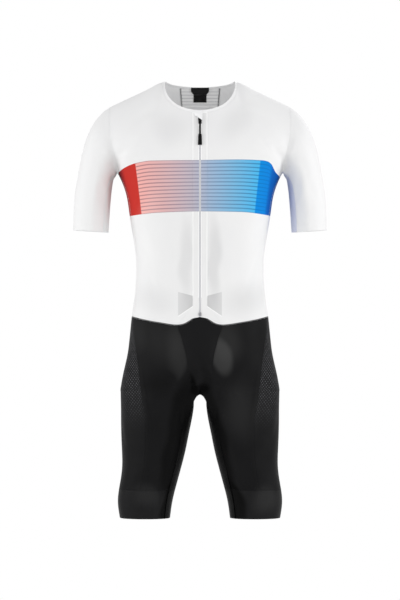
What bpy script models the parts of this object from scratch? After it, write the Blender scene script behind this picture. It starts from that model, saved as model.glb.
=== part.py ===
"""Cycling skinsuit with short sleeves and legs to the knee, filled out as worn, with no wearer.

Metres, +Z up, front towards -Y. The origin lies midway between the two shoulder-neck points, where the
wearer's shoulders carry the suit. Lengths in the tables are millimetres, and a drop is the distance
below the origin. The suit's skin is worked out as one surface, and each cut panel is a piece of it.
"""

import math

import bmesh
import bpy
import numpy as np
from mathutils import Matrix, Vector

MM = 0.001


def table(names, *rows):
    """A table whose columns are read by name."""
    return dict(zip(names.split(), np.array(rows, float).T))


# Cloth and seams; the weld offset keeps the centre line off the edge between two weld cells
CLOTH_WALL = 1.6
COIL_WALL = 2.2
SEAM_GAP = 0.3
MITRE_LEAST = 0.5
LIE_GAP = 0.35
WELD = 0.01
WELD_OFFSET = 0.3712

# Rounds it takes two sizes that depend on each other to settle
SETTLE_ROUNDS = 8

# Body of the suit
ROUNDNESS = 2.3
CHEST_DROP = 209.0
SHOULDER_SLOPE = 0.486
SHOULDER_SOFTNESS = 30.0
SHOULDER_LINE_Y = 5.0
FRONT_ROLL = 1.75
BACK_ROLL = 1.9

# Neck opening
NECK_HALF_WIDTH = 81.0
NECK_FRONT_DROP = 67.0
NECK_BACK_DROP = 11.5
NECK_ROUNDNESS = 2.15
NECK_BACK_ROUNDNESS = 1.1
BINDING_WIDTH = 5.0

# Zip and what sits round it
COIL_HALF_WIDTH = 2.2
TAPE_HALF_WIDTH = 16.4
TAPE_FLARE_SHARE = 0.86
TAPE_FLARE_HALF_WIDTH = 50.0
STOP_DROP = 526.0
TRIM_WALL = 0.9

# The flap over the zip's top, by its two side edges; it rises off the tape to clear the slider
GARAGE = table("side top_x top_drop foot_x foot_drop", (0, -18, 68, -13, 78), (1, 6, 68, 5, 92))
GARAGE_ROWS = 5
GARAGE_COLUMNS = 4
GARAGE_RISE = 2.7
GARAGE_RISE_DOWN = 0.6
GARAGE_RISE_ACROSS = 0.35

# Slider and pull; sizes are across, outward and down, and starts are measured from the pin
STOP_SIZE = (5.2, 1.4, 8.0)
STOP_BEVEL = 0.3
SLIDER_DROP = 92.0
SLIDER_SIZE = (8.6, 2.2, 16.0)
SLIDER_BEVEL = 0.5
LUG_SIZE = (1.4, 5.6, 4.6)
LUG_FOOT = 0.5
LUG_SPREAD = 2.1
PIN_ALONG = 3.0
PIN_HEIGHT = 2.9
PIN_RADIUS = 0.7
EYE_RADIUS = 2.1
EYE_WIDTH = 2.2
NECK_SIZE = (1.9, 1.2, 5.0)
NECK_START = 1.4
STEM_SIZE = (4.4, 1.5, 28.0)
STEM_START = 5.0
STEM_BEVEL = 0.4
GRIP_THICKNESS = 3.0
GRIP_LENGTH = 26.0
GRIP_START = 31.5
GRIP_WIDTHS = (7.4, 9.4)
GRIP_BEVEL = 0.9
PULL_LEAN = 7.0

# Loop and label inside the back of the neck: half widths at three drops, then the label's place
LOOP = table("drop half_width", (15.5, 20.8), (24, 20.8), (29.4, 14.8))
LABEL = table("drop half_width", (29.8, 14.6), (46.6, 14.6))

# Shorts, legs and sleeves
CROTCH_DROP = 712.5
CROTCH_FRONT_DROP = 690.0
CROTCH_SIDE_DROP = 700.0
CROTCH_BACK_DROP = 695.0
CROTCH_FULLNESS = 0.8
LEG_BLEND = 0.36
BAND_SEAM_DROP = 931.0
BAND_SEAM_DIP = 5.0
BAND_SEAM_LOW_TURN = 10.0
HEM_DROP = 996.0
HEM_DIP = 4.0
SLEEVE_BLEND = 0.45

# Panels are cut into this many strips across, and the blocks into this many rows
TAPE_STRIPS = 3
FRONT_NECK_STRIPS = 4
SHOULDER_STRIPS = 4
SIDE_STRIPS = 4
BACK_NECK_STRIPS = 2
FRONT_STRIPS = FRONT_NECK_STRIPS + SHOULDER_STRIPS
BACK_STRIPS = BACK_NECK_STRIPS + SHOULDER_STRIPS
SEAT_STRIPS = BACK_STRIPS + 1
INSEAM_STRIPS = 3
UPPER_ROWS = 7
LOWER_SHARES = (0, 0.12, 0.24, 0.36, 0.48, 0.6, 0.72, 0.83, 0.9, 0.95, 1)
HIP_ROWS = 6
LEG_SHARES = (0, 0.02, 0.06, 0.14, 0.27, 0.42, 0.6, 0.8, 1)
BAND_ROWS = 2
SLEEVE_ROWS = 8


BODY = table(
    "drop half_width front back",
    (-40, 265, 78, 80),
    (67, 265, 96, 99),
    (120, 258, 108, 108),
    (150, 234, 113, 111),
    (180, 210, 117, 112),
    (195, 199, 118, 112),
    (209, 188, 118, 112),
    (225, 176, 118, 112),
    (252, 170, 117, 110),
    (293, 162, 113, 105),
    (334, 156, 108, 99),
    (375, 149, 104, 93),
    (416, 145, 101, 88),
    (457, 146, 100, 87),
    (498, 150, 101, 90),
    (539, 156, 103, 97),
    (580, 160, 104, 107),
    (621, 165, 103, 117),
    (662, 174, 99, 121),
    (703, 181, 94, 115),
    (760, 181, 90, 100),
)

WAIST_SEAM = table(
    "x drop",
    (-1, 536.7),
    (0, 536.7),
    (16, 539.7),
    (23, 543.5),
    (38, 551.8),
    (50, 553.6),
    (92, 548.3),
    (126, 542.2),
    (155, 535.0),
)
WAIST_BACK_DROP = 518.0

# Places of the seams round the body: a distance from the middle, or an angle from centre front
FRONT_CENTRE = table("drop x", (554, 50), (597, 38.5), (631, 30.5), (665, 27), (690, 18), (705, 13))
SIDE_FRONT = table("drop angle", (209, 80), (380, 76), (540, 75), (605, 62.5), (653, 52), (700, 45))
SIDE_BACK = table("drop angle", (209, 100), (380, 104), (540, 106), (605, 118), (653, 126), (700, 132))
BACK_CENTRE = table("drop x", (0, 45), (60, 40), (209, 34), (540, 30), (700, 30))
ARMHOLE = table("drop x", (55, 205), (90, 206), (120, 204.5), (150, 199), (180, 191), (209, 185.5))

LEG = table(
    "drop outer inner front back",
    (690, 180, 0, 94, 114),
    (713, 180, 0, 95, 108),
    (716, 180, 8, 95, 107),
    (720, 180, 11.4, 95, 106),
    (727, 180, 13.2, 95, 104),
    (742, 180, 14.8, 94, 101),
    (768, 180, 18.4, 92, 97),
    (795, 179.5, 24, 89, 93),
    (840, 178, 33, 83, 87),
    (868, 177.5, 40, 80, 83),
    (900, 178, 48.5, 74, 78),
    (918, 181, 53, 71, 74),
    (931, 185, 57, 69, 71),
    (950, 187, 61.5, 66, 67),
    (975, 187, 66, 63, 64),
    (996, 182, 68.5, 61, 62),
)

LEG_SEAMS = table(
    "share centre_front crease side_front side_back centre_back inseam",
    (0, -48, -42, 24, 132, 228, 270),
    (0.35, -49, -44, 13, 137, 229, 270),
    (1, -50, -46, 10, 140, 230, 270),
)

# Each sleeve section from the armhole to the cuff, by its highest outer and lowest inner point
SLEEVE = table(
    "share outer_x outer_drop inner_x inner_drop middle_y half_depth strip",
    (0, 205, 60, 188, 209, 0, 57, 26),
    (0.125, 223.5, 73.5, 193, 213, 0, 60, 31),
    (0.25, 241.5, 95, 197, 223, -1, 61, 36),
    (0.375, 256, 124, 199.5, 237, -2, 60, 40),
    (0.5, 266.5, 156, 201.5, 251, -3, 58, 43),
    (0.625, 274, 192, 203, 267, -4, 56, 45),
    (0.75, 280.5, 229, 204.5, 286, -5, 54, 46),
    (0.875, 286, 267, 206, 306, -6, 52, 46),
    (1, 289, 339, 208.5, 344.5, -7, 50, 45),
)

# The largest soft troughs and swells of the cloth; depth is inwards, and back ones have side 1
FOLDS = table(
    "side x drop lean half_width half_length depth",
    (0, 186, 140, 0.10, 22, 70, 4.0),
    (0, 72, 300, -0.05, 40, 90, 2.5),
    (1, 180, 150, 0.10, 24, 75, 4.5),
    (1, 60, 430, 0.08, 34, 90, 3.0),
)


def read(rows, column, at):
    """A column of a table at a place between its rows, on a smooth curve through them."""
    keys, values = (rows[name] for name in (next(iter(rows)), column))
    at = min(max(at, keys[0]), keys[-1])
    i = min(int(np.searchsorted(keys, at, side="right")) - 1, len(keys) - 2)
    slopes = np.diff(values) / np.diff(keys)

    def tangent(k):
        if k in (0, len(keys) - 1) or slopes[k - 1] * slopes[k] <= 0:
            return 0.0 if 0 < k < len(keys) - 1 else slopes[min(k, len(slopes) - 1)]
        return 2 * slopes[k - 1] * slopes[k] / (slopes[k - 1] + slopes[k])

    span = keys[i + 1] - keys[i]
    t = (at - keys[i]) / span
    return float(
        (1 + 2 * t) * (1 - t) ** 2 * values[i]
        + t * (1 - t) ** 2 * span * tangent(i)
        + t * t * (3 - 2 * t) * values[i + 1]
        + t * t * (t - 1) * span * tangent(i + 1)
    )


def mix(a, b, share):
    return a + (b - a) * share


def evenly(start, end, strips):
    return [mix(start, end, i / strips) for i in range(strips + 1)]


def fade(share, end):
    """Falls smoothly from 1 at the start to 0 at the end."""
    t = min(share / end, 1.0)
    return (1 - t) ** 2 * (1 + 2 * t)


def power(value, exponent):
    """A signed power, which turns a circle's sine or cosine into a superellipse's."""
    return math.copysign(abs(value) ** exponent, value)


def shoulder_drop(x):
    """The drop of the shoulder line, which is rounded where it would meet the other side's."""
    reach = math.hypot(NECK_HALF_WIDTH, SHOULDER_SOFTNESS)
    return SHOULDER_SLOPE * (math.hypot(x, SHOULDER_SOFTNESS) - reach)


def fold_depth(x, drop, back):
    """How far the soft folds take the cloth inwards at a place."""
    total = 0.0
    for side, fx, fdrop, lean, wide, long, depth in zip(*FOLDS.values()):
        if bool(side) != back:
            continue
        along = (drop - fdrop) / long
        across = (x - fx - lean * (drop - fdrop)) / wide
        total += depth * math.exp(-(along**2) - across**2)
    return total


def angle_at(x, drop):
    """The angle round the body, from centre front, at a distance from the middle."""
    share = min(x / read(BODY, "half_width", drop), 1.0)
    return math.degrees(math.asin(share ** (ROUNDNESS / 2)))


def body(angle, drop):
    """A point of the body's skin, at an angle from centre front (0) round the side (90) to the back (180)."""
    back = angle > 90
    s, c = math.sin(math.radians(angle)), math.cos(math.radians(angle))
    x = read(BODY, "half_width", drop) * power(s, 2 / ROUNDNESS)
    y = -read(BODY, "back" if back else "front", drop) * power(c, 2 / ROUNDNESS)
    roll = 1.0
    if drop < CHEST_DROP:
        top = shoulder_drop(x)
        share = min(max((drop - top) / (CHEST_DROP - top), 0.0), 1.0)
        fullness = BACK_ROLL if back else FRONT_ROLL
        roll = (1 - (1 - share) ** fullness) ** (1 / fullness)
    y = SHOULDER_LINE_Y * (1 - roll) + y * roll
    y -= math.copysign(1, y) * min(fold_depth(x, drop, back) * roll, abs(y))
    return Vector((x, y, -drop)) * MM


def front_at(x, drop):
    return body(angle_at(x, drop), drop)


def back_at(x, drop):
    return body(180 - angle_at(x, drop), drop)


def neckline(share, spread=0.0, back=False):
    """Distance from the middle and drop of the neck edge, from the middle (0) to the shoulder (1)."""
    wide = NECK_HALF_WIDTH + spread
    side_drop = shoulder_drop(wide)
    deep = (NECK_BACK_DROP if back else NECK_FRONT_DROP) + spread - side_drop
    roundness = NECK_BACK_ROUNDNESS if back else NECK_ROUNDNESS
    turn = math.radians(90 * share)
    x = wide * power(math.sin(turn), 2 / NECK_ROUNDNESS)
    return x, side_drop + deep * power(math.cos(turn), 2 / roundness)


def neck_share(x, spread=0.0):
    """The share of the neckline at which it is a distance from the middle."""
    wide = NECK_HALF_WIDTH + spread
    return math.degrees(math.asin((x / wide) ** (NECK_ROUNDNESS / 2))) / 90


def tape_edge(share):
    """The tape's half width, which flares into the waist seam; share is 1 on that seam."""
    flare = max(share - TAPE_FLARE_SHARE, 0) / (1 - TAPE_FLARE_SHARE)
    return mix(TAPE_HALF_WIDTH, TAPE_FLARE_HALF_WIDTH, flare**1.8)


def waist_drop(angle):
    """The waist seam's drop at an angle round the body."""
    if angle > 90:
        side = read(WAIST_SEAM, "drop", 155)
        return mix(side, WAIST_BACK_DROP, math.sin(math.radians(angle - 90)) ** 2)
    drop = WAIST_BACK_DROP
    for _ in range(SETTLE_ROUNDS):
        x = read(BODY, "half_width", drop) * power(math.sin(math.radians(angle)), 2 / ROUNDNESS)
        drop = read(WAIST_SEAM, "drop", x)
    return drop


def top_of_column(x, drop):
    """The rolling angle at which a column ends: 0 on the shoulder line, 90 at the chest line."""
    line = shoulder_drop(x)
    return math.degrees(math.acos(1 - min(max((drop - line) / (CHEST_DROP - line), 0), 1)))


def upper_column(foot_x, head, outer, back):
    """A column from the chest line up to its head; outer is 1 on the armhole and 0 at the tape."""
    head_x, head_drop = head
    head_turn = top_of_column(head_x, head_drop)
    foot_arm, head_arm = (read(ARMHOLE, "x", d) for d in (CHEST_DROP, head_drop))
    points = []
    for share in evenly(0, 1, UPPER_ROWS):
        rise = 1 - math.cos(math.radians(mix(90, head_turn, share)))
        x = mix(foot_x, head_x, share)
        for _ in range(SETTLE_ROUNDS):
            drop = mix(shoulder_drop(x), CHEST_DROP, rise)
            bow = read(ARMHOLE, "x", drop) - mix(foot_arm, head_arm, share)
            x = mix(foot_x, head_x, share) + bow * outer**2
        points.append(back_at(x, drop) if back else front_at(x, drop))
    return points


class Skin:
    """The suit's one surface: welded points and faces, each face belonging to a panel."""

    def __init__(self):
        self.points, self.found, self.panels = [], {}, {}
        self.coil_rows, self.back_columns = [], ()

    def corner(self, point):
        key = tuple(round(c / (WELD * MM) + WELD_OFFSET) for c in point)
        if key not in self.found:
            self.found[key] = len(self.points)
            self.points.append(Vector(point))
        return self.found[key]

    def add(self, panel, rows, mirror=True):
        """Adds a grid whose rows run downwards and whose columns run from centre front to the back."""
        names = (panel + "_left", panel + "_right") if mirror else (panel, panel)
        for name, side in zip(names, (1, -1)):
            grid = [[self.corner((p.x * side, p.y, p.z)) for p in row] for row in rows]
            faces = self.panels.setdefault(name, [])
            for upper, lower in zip(grid, grid[1:]):
                for i in range(len(upper) - 1):
                    ring = [upper[i], lower[i], lower[i + 1], upper[i + 1]]
                    ring = [c for k, c in enumerate(ring) if c != ring[k - 1]]
                    faces.append(ring if side > 0 else ring[::-1])

    def face_normal(self, face):
        corners = [self.points[c] for c in face]
        total = Vector()
        for a, b in zip(corners, corners[1:] + corners[:1]):
            total += a.cross(b)
        return total

    def finish(self):
        """Works out the outward direction at each point, shared by all the panels that meet there."""
        self.outward = [Vector() for _ in self.points]
        for faces in self.panels.values():
            for face in faces:
                normal = self.face_normal(face).normalized()
                for before, c, after in zip(face[-1:] + face[:-1], face, face[1:] + face[:1]):
                    first = self.points[before] - self.points[c]
                    second = self.points[after] - self.points[c]
                    self.outward[c] += normal * first.angle(second, 0.0)
        self.outward = [n.normalized() for n in self.outward]


def lower_rows(strips_between):
    """Rows from the chest line to the waist seam, between two seams given as functions of the drop."""
    rows = []
    for share in LOWER_SHARES:
        rows.append(
            [
                seam_point(strip, share, lambda angle: mix(CHEST_DROP, waist_drop(angle), share))
                for strip in strips_between
            ]
        )
    return rows


def seam_point(angle_of, share, drop_of):
    """The point where a seam crosses a row: the angle depends on the drop, and the drop on the angle."""
    drop = drop_of(90)
    for _ in range(SETTLE_ROUNDS):
        angle = angle_of(drop, share)
        drop = drop_of(angle)
    return body(angle, drop)


def between(first, second, strips):
    """Seam functions spaced evenly from one seam to another."""
    def at(place):
        return lambda drop, share: mix(first(drop, share), second(drop, share), place)

    return [at(i / strips) for i in range(strips + 1)]


def coil_edge(drop, share):
    return angle_at(COIL_HALF_WIDTH, drop)


def tape_seam(drop, share):
    return angle_at(tape_edge(share), drop)


def side_front(drop, share):
    return read(SIDE_FRONT, "angle", drop)


def side_back(drop, share):
    return read(SIDE_BACK, "angle", drop)


def back_seam(drop, share):
    return 180 - angle_at(read(BACK_CENTRE, "x", drop), drop)


def centre_back(drop, share):
    return 180.0


def centre_front(drop, share):
    return 0.0


def front_panel_seam(drop, share):
    return angle_at(read(FRONT_CENTRE, "x", drop), drop)


def tape_strips():
    """The tape's strips are spaced by distance, so the narrow band stays even."""
    def at(place):
        return lambda drop, share: angle_at(mix(COIL_HALF_WIDTH, tape_edge(share), place), drop)

    return [at(i / TAPE_STRIPS) for i in range(TAPE_STRIPS + 1)]


def add_lower_body(skin):
    """Trunk from the chest line to the waist seam: coil, tapes, fronts, side strips and back."""
    skin.add("zip_tape", lower_rows(tape_strips()))
    skin.add("front", lower_rows(between(tape_seam, side_front, FRONT_STRIPS)))
    skin.add("side", lower_rows(between(side_front, side_back, SIDE_STRIPS)))
    skin.add("back", lower_rows(between(side_back, back_seam, BACK_STRIPS)))
    skin.add("back_centre", lower_rows([back_seam, centre_back]), mirror=False)
    add_coil(skin, lower_rows([coil_edge]))


def add_coil(skin, rows):
    """The zip's narrow middle strip, which crosses the centre line."""
    across = [[Vector((-row[0].x, row[0].y, row[0].z)), row[0]] for row in rows]
    grid = [[skin.corner(p) for p in row] for row in across]
    skin.coil_rows += rows
    faces = skin.panels.setdefault("zip_coil", [])
    for upper, lower in zip(grid, grid[1:]):
        faces.append([upper[0], lower[0], lower[1], upper[1]])


def front_heads():
    """Where the front's columns end, as distance from the middle and drop, below the neck binding."""
    first = neck_share(TAPE_HALF_WIDTH, BINDING_WIDTH)
    heads = [neckline(s, BINDING_WIDTH) for s in evenly(first, 1, FRONT_NECK_STRIPS)]
    return heads + shoulder_heads()[1:]


def shoulder_heads():
    """The ends of the columns along the shoulder line, from the neck to the armhole."""
    tip = read(ARMHOLE, "x", 0)
    return [(x, shoulder_drop(x)) for x in evenly(NECK_HALF_WIDTH + BINDING_WIDTH, tip, SHOULDER_STRIPS)]


def tape_heads(spread):
    """Where the tape's columns end under or on the neck binding."""
    distances = evenly(COIL_HALF_WIDTH, TAPE_HALF_WIDTH, TAPE_STRIPS)
    return [neckline(neck_share(x, spread), spread) for x in distances]


def back_heads():
    """Where the back's columns end, from the armhole along the shoulder and neck to the centre seam."""
    last = neck_share(read(BACK_CENTRE, "x", 0), BINDING_WIDTH)
    heads = [neckline(s, BINDING_WIDTH, back=True) for s in evenly(1, last, BACK_NECK_STRIPS)]
    return shoulder_heads()[::-1] + heads[1:]


def columns_to_rows(columns):
    """Turns columns that run upwards into rows that run downwards."""
    return [list(row) for row in zip(*columns)][::-1]


def chest_x(seams):
    """Distances from the middle at which seams cross the chest line."""
    return [body(seam(CHEST_DROP, 0), CHEST_DROP).x / MM for seam in seams]


def add_upper_body(skin):
    """Trunk above the chest line: the columns run up to the neck edge or over to the shoulder line."""
    feet = chest_x(tape_strips())
    columns = [upper_column(x, head, 0, False) for x, head in zip(feet, tape_heads(BINDING_WIDTH))]
    skin.add("zip_tape", columns_to_rows(columns))
    add_coil(skin, [[p] for p in columns[0][::-1]])

    feet = chest_x(between(tape_seam, side_front, FRONT_STRIPS))
    shares = evenly(0, 1, FRONT_STRIPS)
    columns = [upper_column(x, h, s, False) for x, h, s in zip(feet, front_heads(), shares)]
    skin.add("front", columns_to_rows(columns))
    armhole = columns[-1]

    feet = chest_x(between(side_back, back_seam, BACK_STRIPS))
    shares = evenly(1, 0, BACK_STRIPS)
    columns = [upper_column(x, h, s, True) for x, h, s in zip(feet, back_heads(), shares)]
    skin.add("back", columns_to_rows(columns))
    armhole_back = columns[0]

    middle = upper_column(0, (0, NECK_BACK_DROP + BINDING_WIDTH), 0, True)
    skin.add("back_centre", columns_to_rows([columns[-1], middle]), mirror=False)
    skin.back_columns = (middle[::-1], columns[-1][::-1])
    return armhole, armhole_back


def add_binding(skin):
    """The narrow binding round the neck edge, open at the zip."""
    outer_heads = tape_heads(BINDING_WIDTH)[:-1] + front_heads()[: FRONT_NECK_STRIPS + 1]
    first = neck_share(TAPE_HALF_WIDTH)
    inner_heads = tape_heads(0)[:-1] + [neckline(s) for s in evenly(first, 1, FRONT_NECK_STRIPS)]
    outer = [front_at(*h) for h in outer_heads]
    inner = [front_at(*h) for h in inner_heads]
    skin.add("neck_binding", [inner, outer], mirror=False)
    add_coil(skin, [[inner[0]], [outer[0]]])

    last = neck_share(read(BACK_CENTRE, "x", 0), BINDING_WIDTH)
    shares = evenly(1, last, BACK_NECK_STRIPS) + [0.0]
    outer = [back_at(*neckline(s, BINDING_WIDTH, back=True)) for s in shares]
    inner = [back_at(*neckline(s, 0, back=True)) for s in shares]
    skin.add("neck_binding", [inner, outer], mirror=False)


def add_sleeve(skin, armhole, armhole_back):
    """A tube that starts on the armhole and turns down to the cuff, with a strip under the arm."""
    under = [body(seam(CHEST_DROP, 0), CHEST_DROP) for seam in between(side_front, side_back, SIDE_STRIPS)]
    loop = armhole[::-1] + under[1:] + armhole_back[1:]
    strip_from, strip_to = len(armhole) - 1, len(armhole) - 1 + SIDE_STRIPS

    def section(share, turn):
        row = {name: read(SLEEVE, name, share) for name in SLEEVE}
        a, s = math.cos(math.radians(turn)), math.sin(math.radians(turn))
        x = mix(row["inner_x"], row["outer_x"], (1 + a) / 2)
        drop = mix(row["inner_drop"], row["outer_drop"], (1 + a) / 2)
        return Vector((x, row["middle_y"] - row["half_depth"] * s, -drop)) * MM

    start = {name: column[0] for name, column in SLEEVE.items()}
    high = Vector((start["outer_x"], 0, -start["outer_drop"])) * MM
    low = Vector((start["inner_x"], 0, -start["inner_drop"])) * MM
    turns = []
    for p in loop:
        along = (p - (high + low) / 2).dot(high - low) / (high - low).length_squared * 2
        turn = math.degrees(math.atan2(-p.y / (start["half_depth"] * MM), along))
        turns.append(turn if turn > -1 or len(turns) < strip_from else turn + 360)
    turns[0], turns[-1] = 0.0, 360.0
    offsets = [p - section(0, turn) for p, turn in zip(loop, turns)]

    def turn_at(i, share):
        """A column's turn on a section, with the underarm strip widening towards the cuff."""
        half = read(SLEEVE, "strip", share)
        blend = min(share / SLEEVE_BLEND, 1)
        if i <= strip_from:
            front = mix(turns[strip_from], 180 - half, blend)
            return turns[i] * front / turns[strip_from]
        if i >= strip_to:
            back = mix(360 - turns[strip_to], 180 - half, blend)
            return 360 - (360 - turns[i]) * back / (360 - turns[strip_to])
        return mix(turn_at(strip_from, share), turn_at(strip_to, share), (i - strip_from) / SIDE_STRIPS)

    rows = [loop]
    for share in evenly(0, 1, SLEEVE_ROWS)[1:]:
        keep = fade(share, SLEEVE_BLEND)
        rows.append([section(share, turn_at(i, share)) + offsets[i] * keep for i in range(len(loop))])
    rows = [row[::-1] for row in rows]
    strip_from, strip_to = len(loop) - 1 - strip_to, len(loop) - 1 - strip_from
    skin.add("sleeve", [row[: strip_from + 1] for row in rows])
    skin.add("sleeve_under", [row[strip_from : strip_to + 1] for row in rows])
    skin.add("sleeve", [row[strip_to:] for row in rows])


def hip_drop(angle, share):
    """The drop of a hip row: rows run from the waist seam to the top of the legs."""
    side = CROTCH_FRONT_DROP if angle < 90 else CROTCH_BACK_DROP
    low = mix(side, CROTCH_SIDE_DROP, math.sin(math.radians(angle)) ** 2)
    return mix(waist_drop(angle), low, share)


def hip_rows(seams):
    return [
        [seam_point(seam, share, lambda angle: hip_drop(angle, share)) for seam in seams]
        for share in evenly(0, 1, HIP_ROWS)
    ]


def centre_strips():
    """The front centre panel's strips are spaced by distance at every drop."""
    def at(place):
        return lambda drop, share: angle_at(read(FRONT_CENTRE, "x", drop) * place, drop)

    waist = evenly(COIL_HALF_WIDTH, TAPE_FLARE_HALF_WIDTH, TAPE_STRIPS)[1:-1]
    return [centre_front] + [at(x / TAPE_FLARE_HALF_WIDTH) for x in waist] + [front_panel_seam]


def add_shorts(skin):
    """Shorts from the waist seam to the top of the legs."""
    side_to_back = between(side_back, back_seam, BACK_STRIPS) + [centre_back]
    skin.add("shorts_front_centre", hip_rows(centre_strips()), mirror=False)
    skin.add("leg_front", hip_rows(between(front_panel_seam, side_front, FRONT_STRIPS)))
    skin.add("leg_side", hip_rows(between(side_front, side_back, SIDE_STRIPS)))
    skin.add("seat", hip_rows(side_to_back))


def crotch_line():
    """Points under the crotch, from centre back to centre front."""
    front, back = body(0, CROTCH_FRONT_DROP), body(180, CROTCH_BACK_DROP)
    points = []
    for share in evenly(0, 1, 2 * INSEAM_STRIPS):
        turn = math.radians(180 * share)
        end = back if share < 0.5 else front
        drop = mix(-end.z / MM, CROTCH_DROP, math.sin(turn) ** CROTCH_FULLNESS)
        points.append(Vector((0, abs(math.cos(turn)) * end.y, -drop * MM)))
    points[0], points[-1] = back, front
    return points


def leg_section(turn, drop):
    """A point of the leg at an angle from its front (0), by its outside (90), to its inside (270)."""
    row = {name: read(LEG, name, drop) for name in LEG}
    s, c = math.sin(math.radians(turn)), math.cos(math.radians(turn))
    middle, half = (row["outer"] + row["inner"]) / 2, (row["outer"] - row["inner"]) / 2
    x = middle + half * power(s, 2 / ROUNDNESS)
    y = -row["front" if c > 0 else "back"] * power(c, 2 / ROUNDNESS)
    return Vector((x, y, -drop)) * MM


def leg_turns(share):
    """The angles of a leg ring's columns, from centre front by the outside and back round the inside."""
    seam = {name: read(LEG_SEAMS, name, share) for name in LEG_SEAMS}
    turns = evenly(seam["centre_front"], seam["crease"], TAPE_STRIPS)
    turns += evenly(seam["crease"], seam["side_front"], FRONT_STRIPS)[1:]
    turns += evenly(seam["side_front"], seam["side_back"], SIDE_STRIPS)[1:]
    turns += evenly(seam["side_back"], seam["centre_back"], SEAT_STRIPS)[1:]
    turns += evenly(seam["centre_back"], seam["inseam"], INSEAM_STRIPS)[1:]
    turns += evenly(seam["inseam"], seam["centre_front"] + 360, INSEAM_STRIPS)[1:]
    return turns


def leg_ring_top():
    """The leg's first ring: the lowest hip row from front to back, then the crotch line to the front."""
    seams = centre_strips() + between(front_panel_seam, side_front, FRONT_STRIPS)[1:]
    seams += between(side_front, side_back, SIDE_STRIPS)[1:]
    seams += between(side_back, back_seam, BACK_STRIPS)[1:] + [centre_back]
    ring = [seam_point(seam, 1, lambda angle: hip_drop(angle, 1)) for seam in seams]
    return ring + crotch_line()[1:]


def band_seam_drop(turn):
    """The band's seam dips a little in front."""
    return BAND_SEAM_DROP - BAND_SEAM_DIP * (1 - math.cos(math.radians(turn - BAND_SEAM_LOW_TURN))) / 2


def hem_drop(turn):
    """The hem dips a little in front."""
    return HEM_DROP - HEM_DIP * (1 - math.cos(math.radians(turn))) / 2


def add_legs(skin):
    """Legs from the crotch to the band's seam, and the gripper bands below it."""
    top = leg_ring_top()
    start = [-p.z / MM for p in top]
    offsets = [p - leg_section(turn, drop) for p, turn, drop in zip(top, leg_turns(0), start)]
    rows = [top]
    for share in LEG_SHARES[1:]:
        keep = fade(share, LEG_BLEND)
        turns = leg_turns(share)
        drops = [mix(a, band_seam_drop(turn), share) for a, turn in zip(start, turns)]
        row = [leg_section(t, d) + o * keep for t, d, o in zip(turns, drops, offsets)]
        rows.append(row)
    ends = np.cumsum([0, TAPE_STRIPS + FRONT_STRIPS, SIDE_STRIPS, SEAT_STRIPS + INSEAM_STRIPS, INSEAM_STRIPS])
    names = ("leg_front", "leg_side", "seat", "leg_front")
    for name, first, last in zip(names, ends, ends[1:]):
        skin.add(name, [row[first : last + 1] for row in rows])
    turns = leg_turns(1)
    bands = [
        [leg_section(t, mix(band_seam_drop(t), hem_drop(t), share)) for t in turns]
        for share in evenly(0, 1, BAND_ROWS)
    ]
    skin.add("leg_band", bands)


def seam_pull(skin, faces):
    """How far each point on a panel's edge draws in, so that neighbours lie a seam gap apart."""
    edges = {(a, b) for face in faces for a, b in zip(face, face[1:] + face[:1])}
    inward = {}
    for face in faces:
        normal = skin.face_normal(face).normalized()
        for a, b in zip(face, face[1:] + face[:1]):
            if (b, a) in edges:
                continue
            side = normal.cross(skin.points[b] - skin.points[a]).normalized()
            for c in (a, b):
                level = side - skin.outward[c] * side.dot(skin.outward[c])
                inward.setdefault(c, []).append(level.normalized())
    pull = {}
    for c, sides in inward.items():
        total = sum(sides, Vector())
        mitre = max(total.dot(total) / len(sides), MITRE_LEAST)
        pull[c] = total / mitre * (SEAM_GAP / 2 * MM)
    return pull


def cut_panel(skin, name, wall):
    """The closed solid of a panel: its outer face, its inner face and the cut edge round it."""
    faces = skin.panels[name]
    pull = seam_pull(skin, faces)
    used = sorted({c for face in faces for c in face})
    mesh = bmesh.new()
    outer, inner = {}, {}
    for c in used:
        place = skin.points[c] + pull.get(c, Vector())
        outer[c] = mesh.verts.new(place)
        inner[c] = mesh.verts.new(place - skin.outward[c] * (wall * MM))
    edges = {(a, b) for face in faces for a, b in zip(face, face[1:] + face[:1])}
    for face in faces:
        mesh.faces.new([outer[c] for c in face])
        mesh.faces.new([inner[c] for c in reversed(face)])
    for a, b in sorted(edges):
        if (b, a) not in edges:
            mesh.faces.new([outer[b], outer[a], inner[a], inner[b]])
    return mesh


def patch(corners_of, lift, thick):
    """The solid of something that lies on cloth: a grid of (point, outward) moved out by lift, then thick."""
    mesh = bmesh.new()
    low = [[mesh.verts.new(p + n * (lift * MM)) for p, n in row] for row in corners_of]
    high = [[mesh.verts.new(p + n * ((lift + thick) * MM)) for p, n in row] for row in corners_of]
    rows, columns = len(low) - 1, len(low[0]) - 1
    for r in range(rows):
        for c in range(columns):
            mesh.faces.new([high[r][c], high[r + 1][c], high[r + 1][c + 1], high[r][c + 1]])
            mesh.faces.new([low[r][c], low[r][c + 1], low[r + 1][c + 1], low[r + 1][c]])
    ring = [(0, c) for c in range(columns)] + [(r, columns) for r in range(rows)]
    ring += [(rows, c) for c in range(columns, 0, -1)] + [(r, 0) for r in range(rows, 0, -1)]
    for (r, c), (r2, c2) in zip(ring, ring[1:] + ring[:1]):
        mesh.faces.new([high[r][c], high[r2][c2], low[r2][c2], low[r][c]])
    bmesh.ops.recalc_face_normals(mesh, faces=mesh.faces)
    return mesh


def chain_point(chain, drop):
    """Where a column of points, in order downwards, crosses a drop."""
    for upper, lower in zip(chain, chain[1:]):
        if -lower.z >= drop * MM or lower is chain[-1]:
            return upper.lerp(lower, (-upper.z - drop * MM) / (lower.z - upper.z))


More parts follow.
